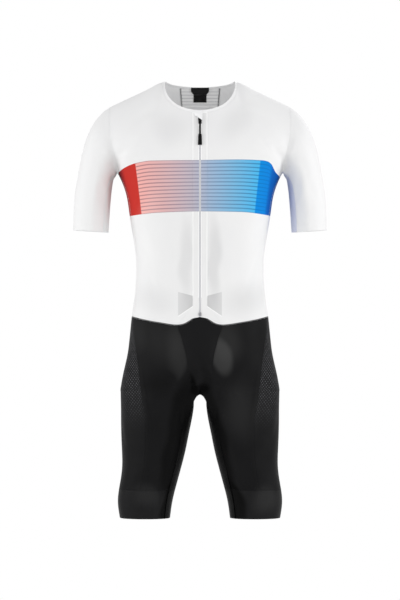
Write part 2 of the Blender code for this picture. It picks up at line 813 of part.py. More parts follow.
def frame_on(place, x, drop):
    """A point of the faceted cloth, with its outward and downward directions."""
    step = 0.5
    point = place(x, drop)
    down = (place(x, drop + step) - place(x, drop - step)).normalized()
    across = (place(x + step, drop) - place(x - step, drop)).normalized()
    return point, down.cross(across).normalized(), down


def coil_place(skin):
    """The coil's faceted front as a function of distance from the middle and drop."""
    rows = sorted((row[0] for row in skin.coil_rows), key=lambda p: -p.z)

    def place(x, drop):
        point = chain_point(rows, drop)
        return Vector((x * MM, point.y, point.z))

    return place


def back_place(skin):
    """The faceted back centre panel near the neck, as a function of distance from the middle and drop."""
    middle, seam = skin.back_columns

    def place(x, drop):
        inner, outer = chain_point(middle, drop), chain_point(seam, drop)
        point = inner.lerp(outer, abs(x) * MM / outer.x)
        return Vector((math.copysign(point.x, x), point.y, point.z))

    return place


def inside_trim(skin, rows_of):
    """Something flat that lies against the inside of the back centre panel."""
    place = back_place(skin)
    drops = list(rows_of["drop"])
    drops += [-p.z / MM for p in skin.back_columns[0] if drops[0] < -p.z / MM < drops[-1]]
    grid = []
    for drop in sorted(drops):
        half = float(np.interp(drop, rows_of["drop"], rows_of["half_width"]))
        row = []
        for x in (-half, 0.0, half):
            point, outward, _ = frame_on(place, x, drop)
            row.append((point, outward if outward.y > 0 else -outward))
        grid.append(row)
    return patch(grid, -(CLOTH_WALL + 2 * LIE_GAP + TRIM_WALL), TRIM_WALL)


def mirrored_front(x, drop):
    """A point of the front at a signed distance from the middle."""
    point = front_at(abs(x), drop)
    return Vector((math.copysign(point.x, x), point.y, point.z))


def garage():
    """The flap over the top of the zip; it lifts to clear the slider, and its foot slants."""
    grid = []
    for down in evenly(0, 1, GARAGE_ROWS):
        row = []
        for across in evenly(0, 1, GARAGE_COLUMNS):
            edge = {name: mix(*GARAGE[name], across) for name in GARAGE}
            x = mix(edge["top_x"], edge["foot_x"], down)
            drop = mix(edge["top_drop"], edge["foot_drop"], down)
            point, outward, _ = frame_on(mirrored_front, x, drop)
            rise = min(down / GARAGE_RISE_DOWN, 1) * min(across / GARAGE_RISE_ACROSS, 1) * GARAGE_RISE
            row.append((point + outward * (rise * MM), outward))
        grid.append(row)
    return patch(grid, LIE_GAP, TRIM_WALL)


def coil_trim(skin, drop, lift):
    """A local frame on the coil: across, outward and down, with its origin lifted off the cloth."""
    point, outward, down = frame_on(coil_place(skin), 0.0, drop)
    outward = outward if outward.y < 0 else -outward
    across = Vector((1, 0, 0))
    turn = Matrix((across, outward, down)).transposed().to_4x4()
    return Matrix.Translation(point + outward * (lift * MM)) @ turn


def block(size, centre, bevel=0.0):
    """A box with rounded edges, sizes along across, outward and down."""
    mesh = bmesh.new()
    bmesh.ops.create_cube(mesh, size=1)
    bmesh.ops.scale(mesh, vec=Vector(size) * MM, verts=mesh.verts)
    if bevel:
        bmesh.ops.bevel(mesh, geom=mesh.edges[:], offset=bevel * MM, segments=1, affect="EDGES")
    bmesh.ops.translate(mesh, vec=Vector(centre) * MM, verts=mesh.verts)
    return mesh


def rod(radius, length, segments=16):
    """A round bar along the local across direction, centred on the origin."""
    mesh = bmesh.new()
    bmesh.ops.create_cone(
        mesh, cap_ends=True, segments=segments, radius1=radius * MM, radius2=radius * MM, depth=length * MM
    )
    bmesh.ops.rotate(mesh, matrix=Matrix.Rotation(math.radians(90), 3, "Y"), verts=mesh.verts)
    return mesh


def combine(target, tool, operation):
    """Joins or cuts a hardware piece with another shape, which then becomes a hidden cutter."""
    cut = target.modifiers.new(operation.lower(), "BOOLEAN")
    cut.object, cut.operation = tool, operation
    tool.hide_render = True
    tool.display_type = "WIRE"


def slider_object(skin, finish):
    """The slider: a plate on the coil with two lugs and the pin that carries the pull."""
    frame = coil_trim(skin, SLIDER_DROP, LIE_GAP)
    thick = SLIDER_SIZE[1]
    slider = make_object("zip_slider", block(SLIDER_SIZE, (0, thick / 2, 0), SLIDER_BEVEL), finish)
    slider.matrix_world = frame
    for name, side in (("cutter_lug_left", 1), ("cutter_lug_right", -1)):
        centre = (side * LUG_SPREAD, LUG_FOOT + LUG_SIZE[1] / 2, PIN_ALONG)
        lug = make_object(name, block(LUG_SIZE, centre), finish)
        lug.matrix_world = frame
        combine(slider, lug, "UNION")
    pin = make_object("cutter_pin", rod(PIN_RADIUS, 2 * LUG_SPREAD), finish)
    pin.matrix_world = frame @ Matrix.Translation(Vector((0, thick + PIN_HEIGHT, PIN_ALONG)) * MM)
    combine(slider, pin, "UNION")
    return pin.matrix_world.copy()


def grip_mesh():
    """The pull's grip, which widens towards its free end."""
    middle = GRIP_START + GRIP_LENGTH / 2
    mesh = block((1, GRIP_THICKNESS, GRIP_LENGTH), (0, 0, middle))
    for v in mesh.verts:
        v.co.x *= GRIP_WIDTHS[1] if v.co.z > middle * MM else GRIP_WIDTHS[0]
    bmesh.ops.bevel(mesh, geom=mesh.edges[:], offset=GRIP_BEVEL * MM, segments=2, affect="EDGES")
    return mesh


def pull_object(pivot, finish):
    """The pull: an eye round the slider's pin, a slim stem and a grip, leaning back on the cloth."""
    frame = pivot @ Matrix.Rotation(math.radians(PULL_LEAN), 4, "X")
    pull = make_object("zip_pull", rod(EYE_RADIUS, EYE_WIDTH), finish)
    pull.matrix_world = frame
    neck = block(NECK_SIZE, (0, 0, NECK_START + NECK_SIZE[2] / 2))
    stem = block(STEM_SIZE, (0, 0, STEM_START + STEM_SIZE[2] / 2), STEM_BEVEL)
    for name, mesh in (("neck", neck), ("stem", stem), ("grip", grip_mesh())):
        shape = make_object("cutter_" + name, mesh, finish)
        shape.matrix_world = frame
        combine(pull, shape, "UNION")
    hole = make_object("cutter_eye", rod(PIN_RADIUS + LIE_GAP, 2 * EYE_WIDTH), finish)
    hole.matrix_world = frame
    combine(pull, hole, "DIFFERENCE")


def add_trim(skin, finishes):
    """Garage, loop, label and the zip's stop, slider and pull."""
    make_object("zip_garage", garage(), finishes["white"])
    make_object("hanger_loop", inside_trim(skin, LOOP), finishes["black_tape"])
    make_object("neck_label", inside_trim(skin, LABEL), finishes["black_tape"])
    centre = (0, STOP_SIZE[1] / 2, STOP_SIZE[2] / 2)
    stop = make_object("zip_stop", block(STOP_SIZE, centre, STOP_BEVEL), finishes["metal"])
    stop.matrix_world = coil_trim(skin, STOP_DROP, LIE_GAP)
    pivot = slider_object(skin, finishes["painted"])
    pull_object(pivot, finishes["painted"])


def material(name, colour, roughness, metallic=0.0, sheen=0.0):
    """A plain Principled material."""
    made = bpy.data.materials.new(name)
    made.use_nodes = True
    shader = made.node_tree.nodes["Principled BSDF"]
    shader.inputs["Base Color"].default_value = (*colour, 1)
    shader.inputs["Roughness"].default_value = roughness
    shader.inputs["Metallic"].default_value = metallic
    shader.inputs["Sheen Weight"].default_value = sheen
    return made


def make_object(name, mesh, finish):
    """Turns a bmesh into a named object with its material."""
    data = bpy.data.meshes.new(name)
    mesh.to_mesh(data)
    mesh.free()
    data.materials.append(finish)
    made = bpy.data.objects.new(name, data)
    bpy.context.collection.objects.link(made)
    return made


def main():
    for item in list(bpy.data.objects):
        bpy.data.objects.remove(item, do_unlink=True)
    skin = Skin()
    armhole, armhole_back = add_upper_body(skin)
    add_lower_body(skin)
    add_binding(skin)
    add_sleeve(skin, armhole, armhole_back)
    add_shorts(skin)
    add_legs(skin)
    skin.finish()
    finishes = {
        "white": material("white_jersey", (0.85, 0.85, 0.86), 0.6, sheen=0.2),
        "black": material("black_jersey", (0.012, 0.012, 0.013), 0.55, sheen=0.2),
        "mesh": material("black_mesh", (0.03, 0.03, 0.032), 0.6, sheen=0.2),
        "band": material("black_band", (0.02, 0.02, 0.021), 0.45),
        "coil": material("grey_coil", (0.35, 0.35, 0.37), 0.5),
        "black_tape": material("black_tape", (0.008, 0.008, 0.008), 0.6),
        "painted": material("black_painted_metal", (0.01, 0.01, 0.01), 0.35, 0.3),
        "metal": material("plain_metal", (0.5, 0.5, 0.5), 0.35, 1.0),
    }
    kinds = {"leg_side": "mesh", "leg_band": "band", "leg": "black", "seat": "black", "shorts": "black"}
    kinds["zip_coil"] = "coil"
    for name in skin.panels:
        kind = next((kinds[start] for start in kinds if name.startswith(start)), "white")
        wall = COIL_WALL if name == "zip_coil" else CLOTH_WALL
        make_object(name, cut_panel(skin, name, wall), finishes[kind])
    add_trim(skin, finishes)


main()
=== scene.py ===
"""Cycling skinsuit: the cloth, seams, zip and trim that are seen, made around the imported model.

Metres, +Z up, the zip side towards -Y. Tables are in millimetres, and a drop is the distance below the
point midway between the wearer's two shoulder-neck points. Left is the wearer's left, towards +X.
"""

import math

import bpy
import numpy as np
from mathutils import Matrix, Vector
from mathutils.kdtree import KDTree


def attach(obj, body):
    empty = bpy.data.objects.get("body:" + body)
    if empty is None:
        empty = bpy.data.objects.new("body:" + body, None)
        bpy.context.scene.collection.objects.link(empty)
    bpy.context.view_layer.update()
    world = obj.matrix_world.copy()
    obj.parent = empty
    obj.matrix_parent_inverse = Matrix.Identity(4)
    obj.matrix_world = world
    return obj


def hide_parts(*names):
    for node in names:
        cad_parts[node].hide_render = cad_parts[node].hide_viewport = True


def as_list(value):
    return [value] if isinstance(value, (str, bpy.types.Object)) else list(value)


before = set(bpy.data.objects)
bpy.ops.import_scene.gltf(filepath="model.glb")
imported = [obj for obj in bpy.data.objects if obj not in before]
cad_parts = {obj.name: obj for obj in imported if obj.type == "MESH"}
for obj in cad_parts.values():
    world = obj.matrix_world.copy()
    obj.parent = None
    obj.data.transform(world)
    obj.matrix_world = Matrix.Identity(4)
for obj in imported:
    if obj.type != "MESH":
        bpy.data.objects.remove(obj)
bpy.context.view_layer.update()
bpy.ops.object.select_all(action="DESELECT")


# ---- Studio ------------------------------------------------------------------------------------------
# A plain pale floor under the suit, a white surround, large soft boxes on either side of the camera and
# smaller ones above and behind. None of it belongs to the suit, and the level front view misses the floor.

MM = 0.001
VIEW_HEIGHT = 1.368
VIEW_DROP = 0.498
CAMERA_AWAY = 14.0
SENSOR = 36.0
SEEN_TO = 60.0
FLOOR_RADIUS = 2.2
FLOOR_DROP = 1.45
SURROUND_LIGHT = 0.58
BOX_AWAY = 3.0

# Each soft box stands at an angle round the suit from straight in front, and at one above the level
SOFT_BOXES = (
    # name, turn, rise, size, watts
    ("box_left", -68, 10, 1.7, 36),
    ("box_right", 66, 12, 1.7, 38.5),
    ("box_front", 4, 40, 1.3, 9),
    ("box_behind", 158, 38, 1.0, 18),
)

# A small lamp low inside the chest opens up the shadow inside the neck
FILL_PLACE = (0, -30, -170)
FILL_AIM = (0, 85, -30)
FILL_SIZE = 0.1
FILL_WATTS = 0.048

# What a node's mode sets, for each kind of node that has one
MODES = {
    "Attribute": "attribute_name",
    "MapRange": "interpolation_type",
    "Math": "operation",
    "Mix": "data_type",
    "TexWave": "bands_direction",
    "UVMap": "uv_map",
}


def linear(code):
    """The linear colour of an sRGB hex value, with full alpha."""
    channels = [int(code[i : i + 2], 16) / 255 for i in (1, 3, 5)]
    return (*(c / 12.92 if c <= 0.04045 else ((c + 0.055) / 1.055) ** 2.4 for c in channels), 1.0)


def feed(tree, socket, value):
    """Gives an input socket a constant, another socket, or another node's first result."""
    if isinstance(value, bpy.types.Node):
        value = next(result for result in value.outputs if result.enabled)
    if isinstance(value, bpy.types.NodeSocket):
        tree.links.new(value, socket)
    else:
        socket.default_value = value


def node(tree, kind, inputs=(), mode=None, **settings):
    """Adds a node with its settings, and feeds its inputs, which are given by name or in order."""
    made = tree.nodes.new("ShaderNode" + kind)
    if mode:
        settings[MODES[kind]] = mode
    for name, value in settings.items():
        setattr(made, name, value)
    if not isinstance(inputs, dict):
        inputs = dict(zip((n for n, socket in enumerate(made.inputs) if socket.enabled), inputs))
    for key, value in inputs.items():
        feed(tree, made.inputs[key], value)
    return made


def finish(name, sockets):
    """A new material with constants on its Principled shader; returns it with its tree and shader."""
    made = bpy.data.materials.new(name)
    made.use_nodes = True
    shader = made.node_tree.nodes["Principled BSDF"]
    for socket, value in sockets.items():
        shader.inputs[socket].default_value = value
    return made, made.node_tree, shader


def textured(name, sockets, shades, kind, inputs, mode=None, depth=0.0, on_cut=False):
    """A material whose colour runs between two shades with a texture, which may stand up from it too."""
    material, tree, shader = finish(name, sockets)
    place = node(tree, "UVMap", (), "cut") if on_cut else node(tree, "TexCoord").outputs["Object"]
    texture = node(tree, kind, {"Vector": place, **inputs}, mode)
    feed(tree, shader.inputs["Base Color"], node(tree, "Mix", (texture, *map(linear, shades)), "RGBA"))
    if depth:
        feed(tree, shader.inputs["Normal"], node(tree, "Bump", {"Height": texture, "Distance": depth * MM}))
    return material


def soft_light(name, place, towards, size, watts):
    """A square lamp at a place, which shines against a direction."""
    lamp = bpy.data.lights.new(name, "AREA")
    lamp.energy = watts
    lamp.size = size
    stand = bpy.data.objects.new(name, lamp)
    stand.location = place
    stand.rotation_euler = towards.to_track_quat("Z", "Y").to_euler()
    bpy.context.scene.collection.objects.link(stand)


place = (0, 0, -FLOOR_DROP)
bpy.ops.mesh.primitive_circle_add(vertices=96, radius=FLOOR_RADIUS, fill_type="NGON", location=place)
floor = bpy.context.object
floor.name = "studio_floor"
paint = finish("pale_floor_paint", {"Base Color": linear("#F1F1EF"), "Roughness": 0.8})[0]
floor.data.materials.append(paint)

world = bpy.data.worlds.new("white_surround")
bpy.context.scene.world = world
world.use_nodes = True
sky = world.node_tree
seen = node(sky, "Background", {"Color": (1, 1, 1, 1), "Strength": 1.0})
lighting = node(sky, "Background", {"Color": (1, 1, 1, 1), "Strength": SURROUND_LIGHT})
ray = node(sky, "LightPath")
surround = node(sky, "MixShader", (ray.outputs["Is Camera Ray"], lighting, seen))
feed(sky, sky.nodes["World Output"].inputs[0], surround)
bpy.context.scene.view_settings.view_transform = "Standard"

middle = Vector((0, 0, -VIEW_DROP))
for name, turn, rise, size, watts in SOFT_BOXES:
    level, up = math.radians(turn), math.radians(rise)
    towards = Vector((math.sin(level) * math.cos(up), -math.cos(level) * math.cos(up), math.sin(up)))
    soft_light(name, middle + towards * BOX_AWAY, towards, size, watts)
place = Vector(FILL_PLACE)
soft_light("neck_fill", place * MM, place - Vector(FILL_AIM), FILL_SIZE, FILL_WATTS)

camera = bpy.data.objects.new("camera", bpy.data.cameras.new("camera"))
camera.data.sensor_width = SENSOR
camera.data.lens = SENSOR * CAMERA_AWAY / VIEW_HEIGHT
camera.location = (0, -CAMERA_AWAY, -VIEW_DROP)
camera.rotation_euler = (math.radians(90), 0, 0)
camera.data.clip_end = SEEN_TO
bpy.context.scene.collection.objects.link(camera)
bpy.context.scene.camera = camera


# ---- Trunk pattern -----------------------------------------------------------------------------------
# The trunk is cut close to the body: two fronts, a pair of bonded zip bands, side strips and a back in
# three parts. Its surface is a superellipse that changes with the drop and rolls over at the shoulders.

# Corners are welded on a fine grid whose offset keeps them off its borders
WELD = 0.01
WELD_OFFSET = 0.3712
SETTLE_ROUNDS = 8

ROUNDNESS = 2.3
CHEST_DROP = 209.0
SHOULDER_SLOPE = 0.486
SHOULDER_SOFTNESS = 30.0
SHOULDER_LINE_Y = 5.0
FRONT_ROLL = 1.75
BACK_ROLL = 1.9

NECK_HALF_WIDTH = 81.0
NECK_FRONT_DROP = 67.0
NECK_BACK_DROP = 11.5
NECK_ROUNDNESS = 2.15
NECK_BACK_ROUNDNESS = 1.1
BINDING_WIDTH = 5.0

COIL_HALF_WIDTH = 2.2
BAND_HALF_WIDTH = 16.4
BAND_FLARE_SHARE = 0.86
BAND_FLARE_HALF_WIDTH = 50.0
BAND_FLARE_POWER = 1.8

BAND_STRIPS = 3
FRONT_NECK_STRIPS = 4
SHOULDER_STRIPS = 4
SIDE_STRIPS = 4
BACK_NECK_STRIPS = 2
FRONT_STRIPS = FRONT_NECK_STRIPS + SHOULDER_STRIPS
BACK_STRIPS = BACK_NECK_STRIPS + SHOULDER_STRIPS
UPPER_ROWS = 7
LOWER_SHARES = (0, 0.12, 0.24, 0.36, 0.48, 0.6, 0.72, 0.83, 0.9, 0.95, 1)


def table(names, *rows):
    """A table whose columns are read by name."""
    return dict(zip(names.split(), np.array(rows, float).T))


BODY = table(
    "drop half_width front back",
    (-40, 265, 78, 80), (67, 265, 96, 99), (120, 258, 108, 108), (150, 234, 113, 111),
    (180, 210, 117, 112), (195, 199, 118, 112), (209, 188, 118, 112), (225, 176, 118, 112),
    (252, 170, 117, 110), (293, 162, 113, 105), (334, 156, 108, 99), (375, 149, 104, 93),
    (416, 145, 101, 88), (457, 146, 100, 87), (498, 150, 101, 90), (539, 156, 103, 97),
    (580, 160, 104, 107), (621, 165, 103, 117), (662, 174, 99, 121), (703, 181, 94, 115),
    (760, 181, 90, 100),
)
WAIST_SEAM = table(
    "x drop",
    (-1, 536.7), (0, 536.7), (16, 539.7), (23, 543.5), (38, 551.8), (50, 553.6), (92, 548.3),
    (126, 542.2), (155, 535.0),
)
WAIST_BACK_DROP = 518.0

# Places of the seams round the body: a distance from the middle, or an angle from centre front
SIDE_FRONT = table("drop angle", (209, 80), (380, 76), (540, 75), (605, 62.5), (653, 52), (700, 45))
SIDE_BACK = table("drop angle", (209, 100), (380, 104), (540, 106), (605, 118), (653, 126), (700, 132))
BACK_CENTRE = table("drop x", (0, 45), (60, 40), (209, 34), (540, 30), (700, 30))
ARMHOLE = table("drop x", (55, 205), (90, 206), (120, 204.5), (150, 199), (180, 191), (209, 185.5))

# The largest soft troughs and swells of the cloth; depth is inwards, and back ones have side 1
FOLDS = table(
    "side x drop lean half_width half_length depth",
    (0, 186, 140, 0.10, 22, 70, 4.0), (0, 72, 300, -0.05, 40, 90, 2.5),
    (1, 180, 150, 0.10, 24, 75, 4.5), (1, 60, 430, 0.08, 34, 90, 3.0),
)


def read(rows, column, at):
    """A column of a table at a place between its rows, on a smooth curve through them."""
    keys, values = (rows[name] for name in (next(iter(rows)), column))
    at = min(max(at, keys[0]), keys[-1])
    i = min(int(np.searchsorted(keys, at, side="right")) - 1, len(keys) - 2)
    slopes = np.diff(values) / np.diff(keys)

    def tangent(k):
        if k in (0, len(keys) - 1) or slopes[k - 1] * slopes[k] <= 0:
            return 0.0 if 0 < k < len(keys) - 1 else slopes[min(k, len(slopes) - 1)]
        return 2 * slopes[k - 1] * slopes[k] / (slopes[k - 1] + slopes[k])

    span = keys[i + 1] - keys[i]
    t = (at - keys[i]) / span
    return float(
        (1 + 2 * t) * (1 - t) ** 2 * values[i]
        + t * (1 - t) ** 2 * span * tangent(i)
        + t * t * (3 - 2 * t) * values[i + 1]
        + t * t * (t - 1) * span * tangent(i + 1)
    )


def mix(a, b, share):
    return a + (b - a) * share


def evenly(start, end, strips):
    return [mix(start, end, i / strips) for i in range(strips + 1)]


def power(value, exponent):
    """A signed power, which turns a circle's sine or cosine into a superellipse's."""
    return math.copysign(abs(value) ** exponent, value)


def shoulder_drop(x):
    """The drop of the shoulder line, which is rounded where it would meet the other side's."""
    reach = math.hypot(NECK_HALF_WIDTH, SHOULDER_SOFTNESS)
    return SHOULDER_SLOPE * (math.hypot(x, SHOULDER_SOFTNESS) - reach)


def fold_depth(x, drop, back):
    """How far the soft folds take the cloth inwards at a place."""
    total = 0.0
    for side, fx, fdrop, lean, wide, long, depth in zip(*FOLDS.values()):
        if bool(side) != back:
            continue
        along = (drop - fdrop) / long
        across = (x - fx - lean * (drop - fdrop)) / wide
        total += depth * math.exp(-(along**2) - across**2)
    return total


def angle_at(x, drop):
    """The angle round the body, from centre front, at a distance from the middle."""
    share = min(x / read(BODY, "half_width", drop), 1.0)
    return math.degrees(math.asin(share ** (ROUNDNESS / 2)))


def body(angle, drop):
    """A point of the body's skin, at an angle from centre front (0) by the side (90) to the back (180)."""
    back = angle > 90
    s, c = math.sin(math.radians(angle)), math.cos(math.radians(angle))
    x = read(BODY, "half_width", drop) * power(s, 2 / ROUNDNESS)
    y = -read(BODY, "back" if back else "front", drop) * power(c, 2 / ROUNDNESS)
    roll = 1.0
    if drop < CHEST_DROP:
        top = shoulder_drop(x)
        share = min(max((drop - top) / (CHEST_DROP - top), 0.0), 1.0)
        fullness = BACK_ROLL if back else FRONT_ROLL
        roll = (1 - (1 - share) ** fullness) ** (1 / fullness)
    y = SHOULDER_LINE_Y * (1 - roll) + y * roll
    y -= math.copysign(1, y) * min(fold_depth(x, drop, back) * roll, abs(y))
    return Vector((x, y, -drop)) * MM


def front_at(x, drop, back=False):
    """A point of the front, or of the back, at a signed distance from the middle."""
    angle = angle_at(abs(x), drop)
    point = body(180 - angle if back else angle, drop)
    return Vector((math.copysign(point.x, x), point.y, point.z))


def back_at(x, drop):
    return front_at(x, drop, back=True)


def neckline(share, spread=0.0, back=False):
    """Distance from the middle and drop of the neck edge, from the middle (0) to the shoulder (1)."""
    wide = NECK_HALF_WIDTH + spread
    side_drop = shoulder_drop(wide)
    deep = (NECK_BACK_DROP if back else NECK_FRONT_DROP) + spread - side_drop
    roundness = NECK_BACK_ROUNDNESS if back else NECK_ROUNDNESS
    turn = math.radians(90 * share)
    x = wide * power(math.sin(turn), 2 / NECK_ROUNDNESS)
    return x, side_drop + deep * power(math.cos(turn), 2 / roundness)


def neck_share(x, spread=0.0):
    """The share of the neckline at which it is a distance from the middle."""
    wide = NECK_HALF_WIDTH + spread
    return math.degrees(math.asin((x / wide) ** (NECK_ROUNDNESS / 2))) / 90


def band_edge(share):
    """The zip band's half width, which flares into the waist seam; share is 1 on that seam."""
    flare = max(share - BAND_FLARE_SHARE, 0) / (1 - BAND_FLARE_SHARE)
    return mix(BAND_HALF_WIDTH, BAND_FLARE_HALF_WIDTH, flare**BAND_FLARE_POWER)


def waist_drop(angle):
    """The waist seam's drop at an angle round the body."""
    if angle > 90:
        side = read(WAIST_SEAM, "drop", 155)
        return mix(side, WAIST_BACK_DROP, math.sin(math.radians(angle - 90)) ** 2)
    drop = WAIST_BACK_DROP
    for _ in range(SETTLE_ROUNDS):
        x = read(BODY, "half_width", drop) * power(math.sin(math.radians(angle)), 2 / ROUNDNESS)
        drop = read(WAIST_SEAM, "drop", x)
    return drop


def top_of_column(x, drop):
    """The rolling angle at which a column ends: 0 on the shoulder line, 90 at the chest line."""
    line = shoulder_drop(x)
    return math.degrees(math.acos(1 - min(max((drop - line) / (CHEST_DROP - line), 0), 1)))


def upper_column(foot_x, head, outer, place):
    """A column from the chest line up to its head; outer is 1 on the armhole and 0 at the zip band."""
    head_x, head_drop = head
    head_turn = top_of_column(head_x, head_drop)
    foot_arm, head_arm = (read(ARMHOLE, "x", d) for d in (CHEST_DROP, head_drop))
    points = []
    for share in evenly(0, 1, UPPER_ROWS):
        rise = 1 - math.cos(math.radians(mix(90, head_turn, share)))
        x = mix(foot_x, head_x, share)
        for _ in range(SETTLE_ROUNDS):
            drop = mix(shoulder_drop(x), CHEST_DROP, rise)
            bow = read(ARMHOLE, "x", drop) - mix(foot_arm, head_arm, share)
            x = mix(foot_x, head_x, share) + bow * outer**2
        points.append(place(x, drop))
    return points


class Pattern:
    """The suit's surface as coarse welded cells, each in a panel, with every panel also laid out flat."""

    def __init__(self):
        self.points, self.found, self.panels, self.last_row = [], {}, [], {}
        self.cells, self.panel_of, self.flat = [], [], []

    def corner(self, point):
        key = tuple(round(c / (WELD * MM) + WELD_OFFSET) for c in point)
        if key not in self.found:
            self.found[key] = len(self.points)
            self.points.append(Vector(point))
        return self.found[key]

    def add(self, panel, rows, mirror=True):
        """Adds a grid whose rows run downwards and whose columns run from centre front to the back."""
        names = (panel + "_left", panel + "_right") if mirror else (panel, panel)
        for name, side in zip(names, (1, -1)):
            if name not in self.panels:
                self.panels.append(name)
            grid = [[self.corner((p.x * side, p.y, p.z)) for p in row] for row in rows]
            flat = self.laid_flat(name, side, grid, rows)
            for r in range(len(grid) - 1):
                for c in range(len(grid[0]) - 1):
                    ring = [(r, c), (r + 1, c), (r + 1, c + 1), (r, c + 1)][::side]
                    ring = [(grid[i][j], flat[i][j]) for i, j in ring]
                    ring = [corner for n, corner in enumerate(ring) if corner[0] != ring[n - 1][0]]
                    self.cells.append([point for point, place in ring])
                    self.flat += [place for point, place in ring]
                    self.panel_of.append(self.panels.index(name))

    def laid_flat(self, name, side, grid, rows):
        """Where each point of a grid lies in the panel's flat piece, below what was added before it."""
        ends = self.last_row.get(name, {})
        above = [ends[c] for c in grid[0] if c in ends]
        down = sum(above) / len(above) if above else 0.0
        flat = []
        for r, row in enumerate(rows):
            if r:
                down += sum((p - q).length for p, q in zip(row, rows[r - 1])) / len(row)
            across = np.cumsum([0] + [(p - q).length for p, q in zip(row[1:], row)])
            flat.append([(side * a, -down) for a in across])
        self.last_row[name] = {c: down for c in grid[-1]}
        return flat


def seam_point(angle_of, share, drop_of):
    """The point where a seam crosses a row: the angle depends on the drop, and the drop on the angle."""
    drop = drop_of(90)
    for _ in range(SETTLE_ROUNDS):
        angle = angle_of(drop, share)
        drop = drop_of(angle)
    return body(angle, drop)


def lower_rows(seams):
    """Rows from the chest line to the waist seam, through seams given as functions of the drop."""
    return [
        [seam_point(seam, share, lambda angle: mix(CHEST_DROP, waist_drop(angle), share)) for seam in seams]
        for share in LOWER_SHARES
    ]


def between(first, second, strips):
    """Seam functions spaced evenly from one seam to another."""
    def at(place):
        return lambda drop, share: mix(first(drop, share), second(drop, share), place)

    return [at(place) for place in evenly(0, 1, strips)]


def band_seam(drop, share):
    return angle_at(band_edge(share), drop)


def side_front(drop, share):
    return read(SIDE_FRONT, "angle", drop)


def side_back(drop, share):
    return read(SIDE_BACK, "angle", drop)


def back_seam(drop, share):
    return 180 - angle_at(read(BACK_CENTRE, "x", drop), drop)


def centre_back(drop, share):
    return 180.0


def centre_front(drop, share):
    return 0.0


def band_seam_at(place):
    """A seam of the zip band, whose strips are spaced by distance, so that the narrow band stays even."""
    return lambda drop, share: angle_at(mix(COIL_HALF_WIDTH, band_edge(share), place), drop)


def add_coil(edge):
    """The zip's narrow middle strip, which crosses the centre line, by its edge's points downwards."""
    pattern.add("zip_coil", [[Vector((0, p.y, p.z)), p] for p in edge], mirror=False)


def shoulder_heads():
    """The ends of the columns along the shoulder line, from the neck to the armhole."""
    tip = read(ARMHOLE, "x", 0)
    return [(x, shoulder_drop(x)) for x in evenly(NECK_HALF_WIDTH + BINDING_WIDTH, tip, SHOULDER_STRIPS)]


def band_heads(spread):
    """Where the zip band's columns end under or on the neck binding."""
    distances = evenly(COIL_HALF_WIDTH, BAND_HALF_WIDTH, BAND_STRIPS)
    return [neckline(neck_share(x, spread), spread) for x in distances]


def neck_heads(spread, first, last, strips, back=False):
    return [neckline(share, spread, back) for share in evenly(first, last, strips)]


def columns_to_rows(columns):
    """Turns columns that run upwards into rows that run downwards."""
    return [list(row) for row in zip(*columns)][::-1]


def upper_columns(seams, heads, outers, place):
    """Columns from where seams cross the chest line up to their heads."""
    feet = [body(seam(CHEST_DROP, 0), CHEST_DROP).x / MM for seam in seams]
    return [upper_column(x, head, outer, place) for x, head, outer in zip(feet, heads, outers)]


pattern = Pattern()
band_seams = [band_seam_at(place) for place in evenly(0, 1, BAND_STRIPS)]
front_seams = between(band_seam, side_front, FRONT_STRIPS)
side_seams = between(side_front, side_back, SIDE_STRIPS)
back_seams = between(side_back, back_seam, BACK_STRIPS)
neck_front = neck_share(BAND_HALF_WIDTH, BINDING_WIDTH)
neck_back = neck_share(read(BACK_CENTRE, "x", 0), BINDING_WIDTH)
front_heads = neck_heads(BINDING_WIDTH, neck_front, 1, FRONT_NECK_STRIPS)
back_heads = neck_heads(BINDING_WIDTH, 1, neck_back, BACK_NECK_STRIPS, back=True)

columns = upper_columns(band_seams, band_heads(BINDING_WIDTH), [0] * (BAND_STRIPS + 1), front_at)
pattern.add("zip_tape", columns_to_rows(columns))
add_coil(columns[0][::-1])
heads = front_heads + shoulder_heads()[1:]
fronts = upper_columns(front_seams, heads, evenly(0, 1, FRONT_STRIPS), front_at)
pattern.add("front", columns_to_rows(fronts))
heads = shoulder_heads()[::-1] + back_heads[1:]
backs = upper_columns(back_seams, heads, evenly(1, 0, BACK_STRIPS), back_at)
pattern.add("back", columns_to_rows(backs))
spine = upper_column(0, (0, NECK_BACK_DROP + BINDING_WIDTH), 0, back_at)
pattern.add("back_centre", columns_to_rows([backs[-1], spine]), mirror=False)

pattern.add("zip_tape", lower_rows(band_seams))
add_coil([row[0] for row in lower_rows(band_seams[:1])])
for name, seams in (("front", front_seams), ("side", side_seams), ("back", back_seams)):
    pattern.add(name, lower_rows(seams))
pattern.add("back_centre", lower_rows([back_seam, centre_back]), mirror=False)

# The binding runs round the neck edge outside the heads, and is open at the zip
outer = [front_at(*head) for head in band_heads(BINDING_WIDTH)[:-1] + front_heads]
inner = band_heads(0)[:-1] + neck_heads(0, neck_share(BAND_HALF_WIDTH), 1, FRONT_NECK_STRIPS)
inner = [front_at(*head) for head in inner]
pattern.add("neck_binding", [inner, outer], mirror=False)
add_coil([inner[0], outer[0]])
shares = evenly(1, neck_back, BACK_NECK_STRIPS) + [0.0]
rows = [[back_at(*neckline(share, spread, back=True)) for share in shares] for spread in (0, BINDING_WIDTH)]
pattern.add("neck_binding", rows, mirror=False)


# ---- Sleeve pattern ----------------------------------------------------------------------------------
# Each sleeve is a tube that starts on the armhole and turns down to a raw-cut cuff above the elbow. A
# strip under the arm closes it, and is cut from tinted cloth.

SLEEVE_BLEND = 0.45
SLEEVE_ROWS = 8

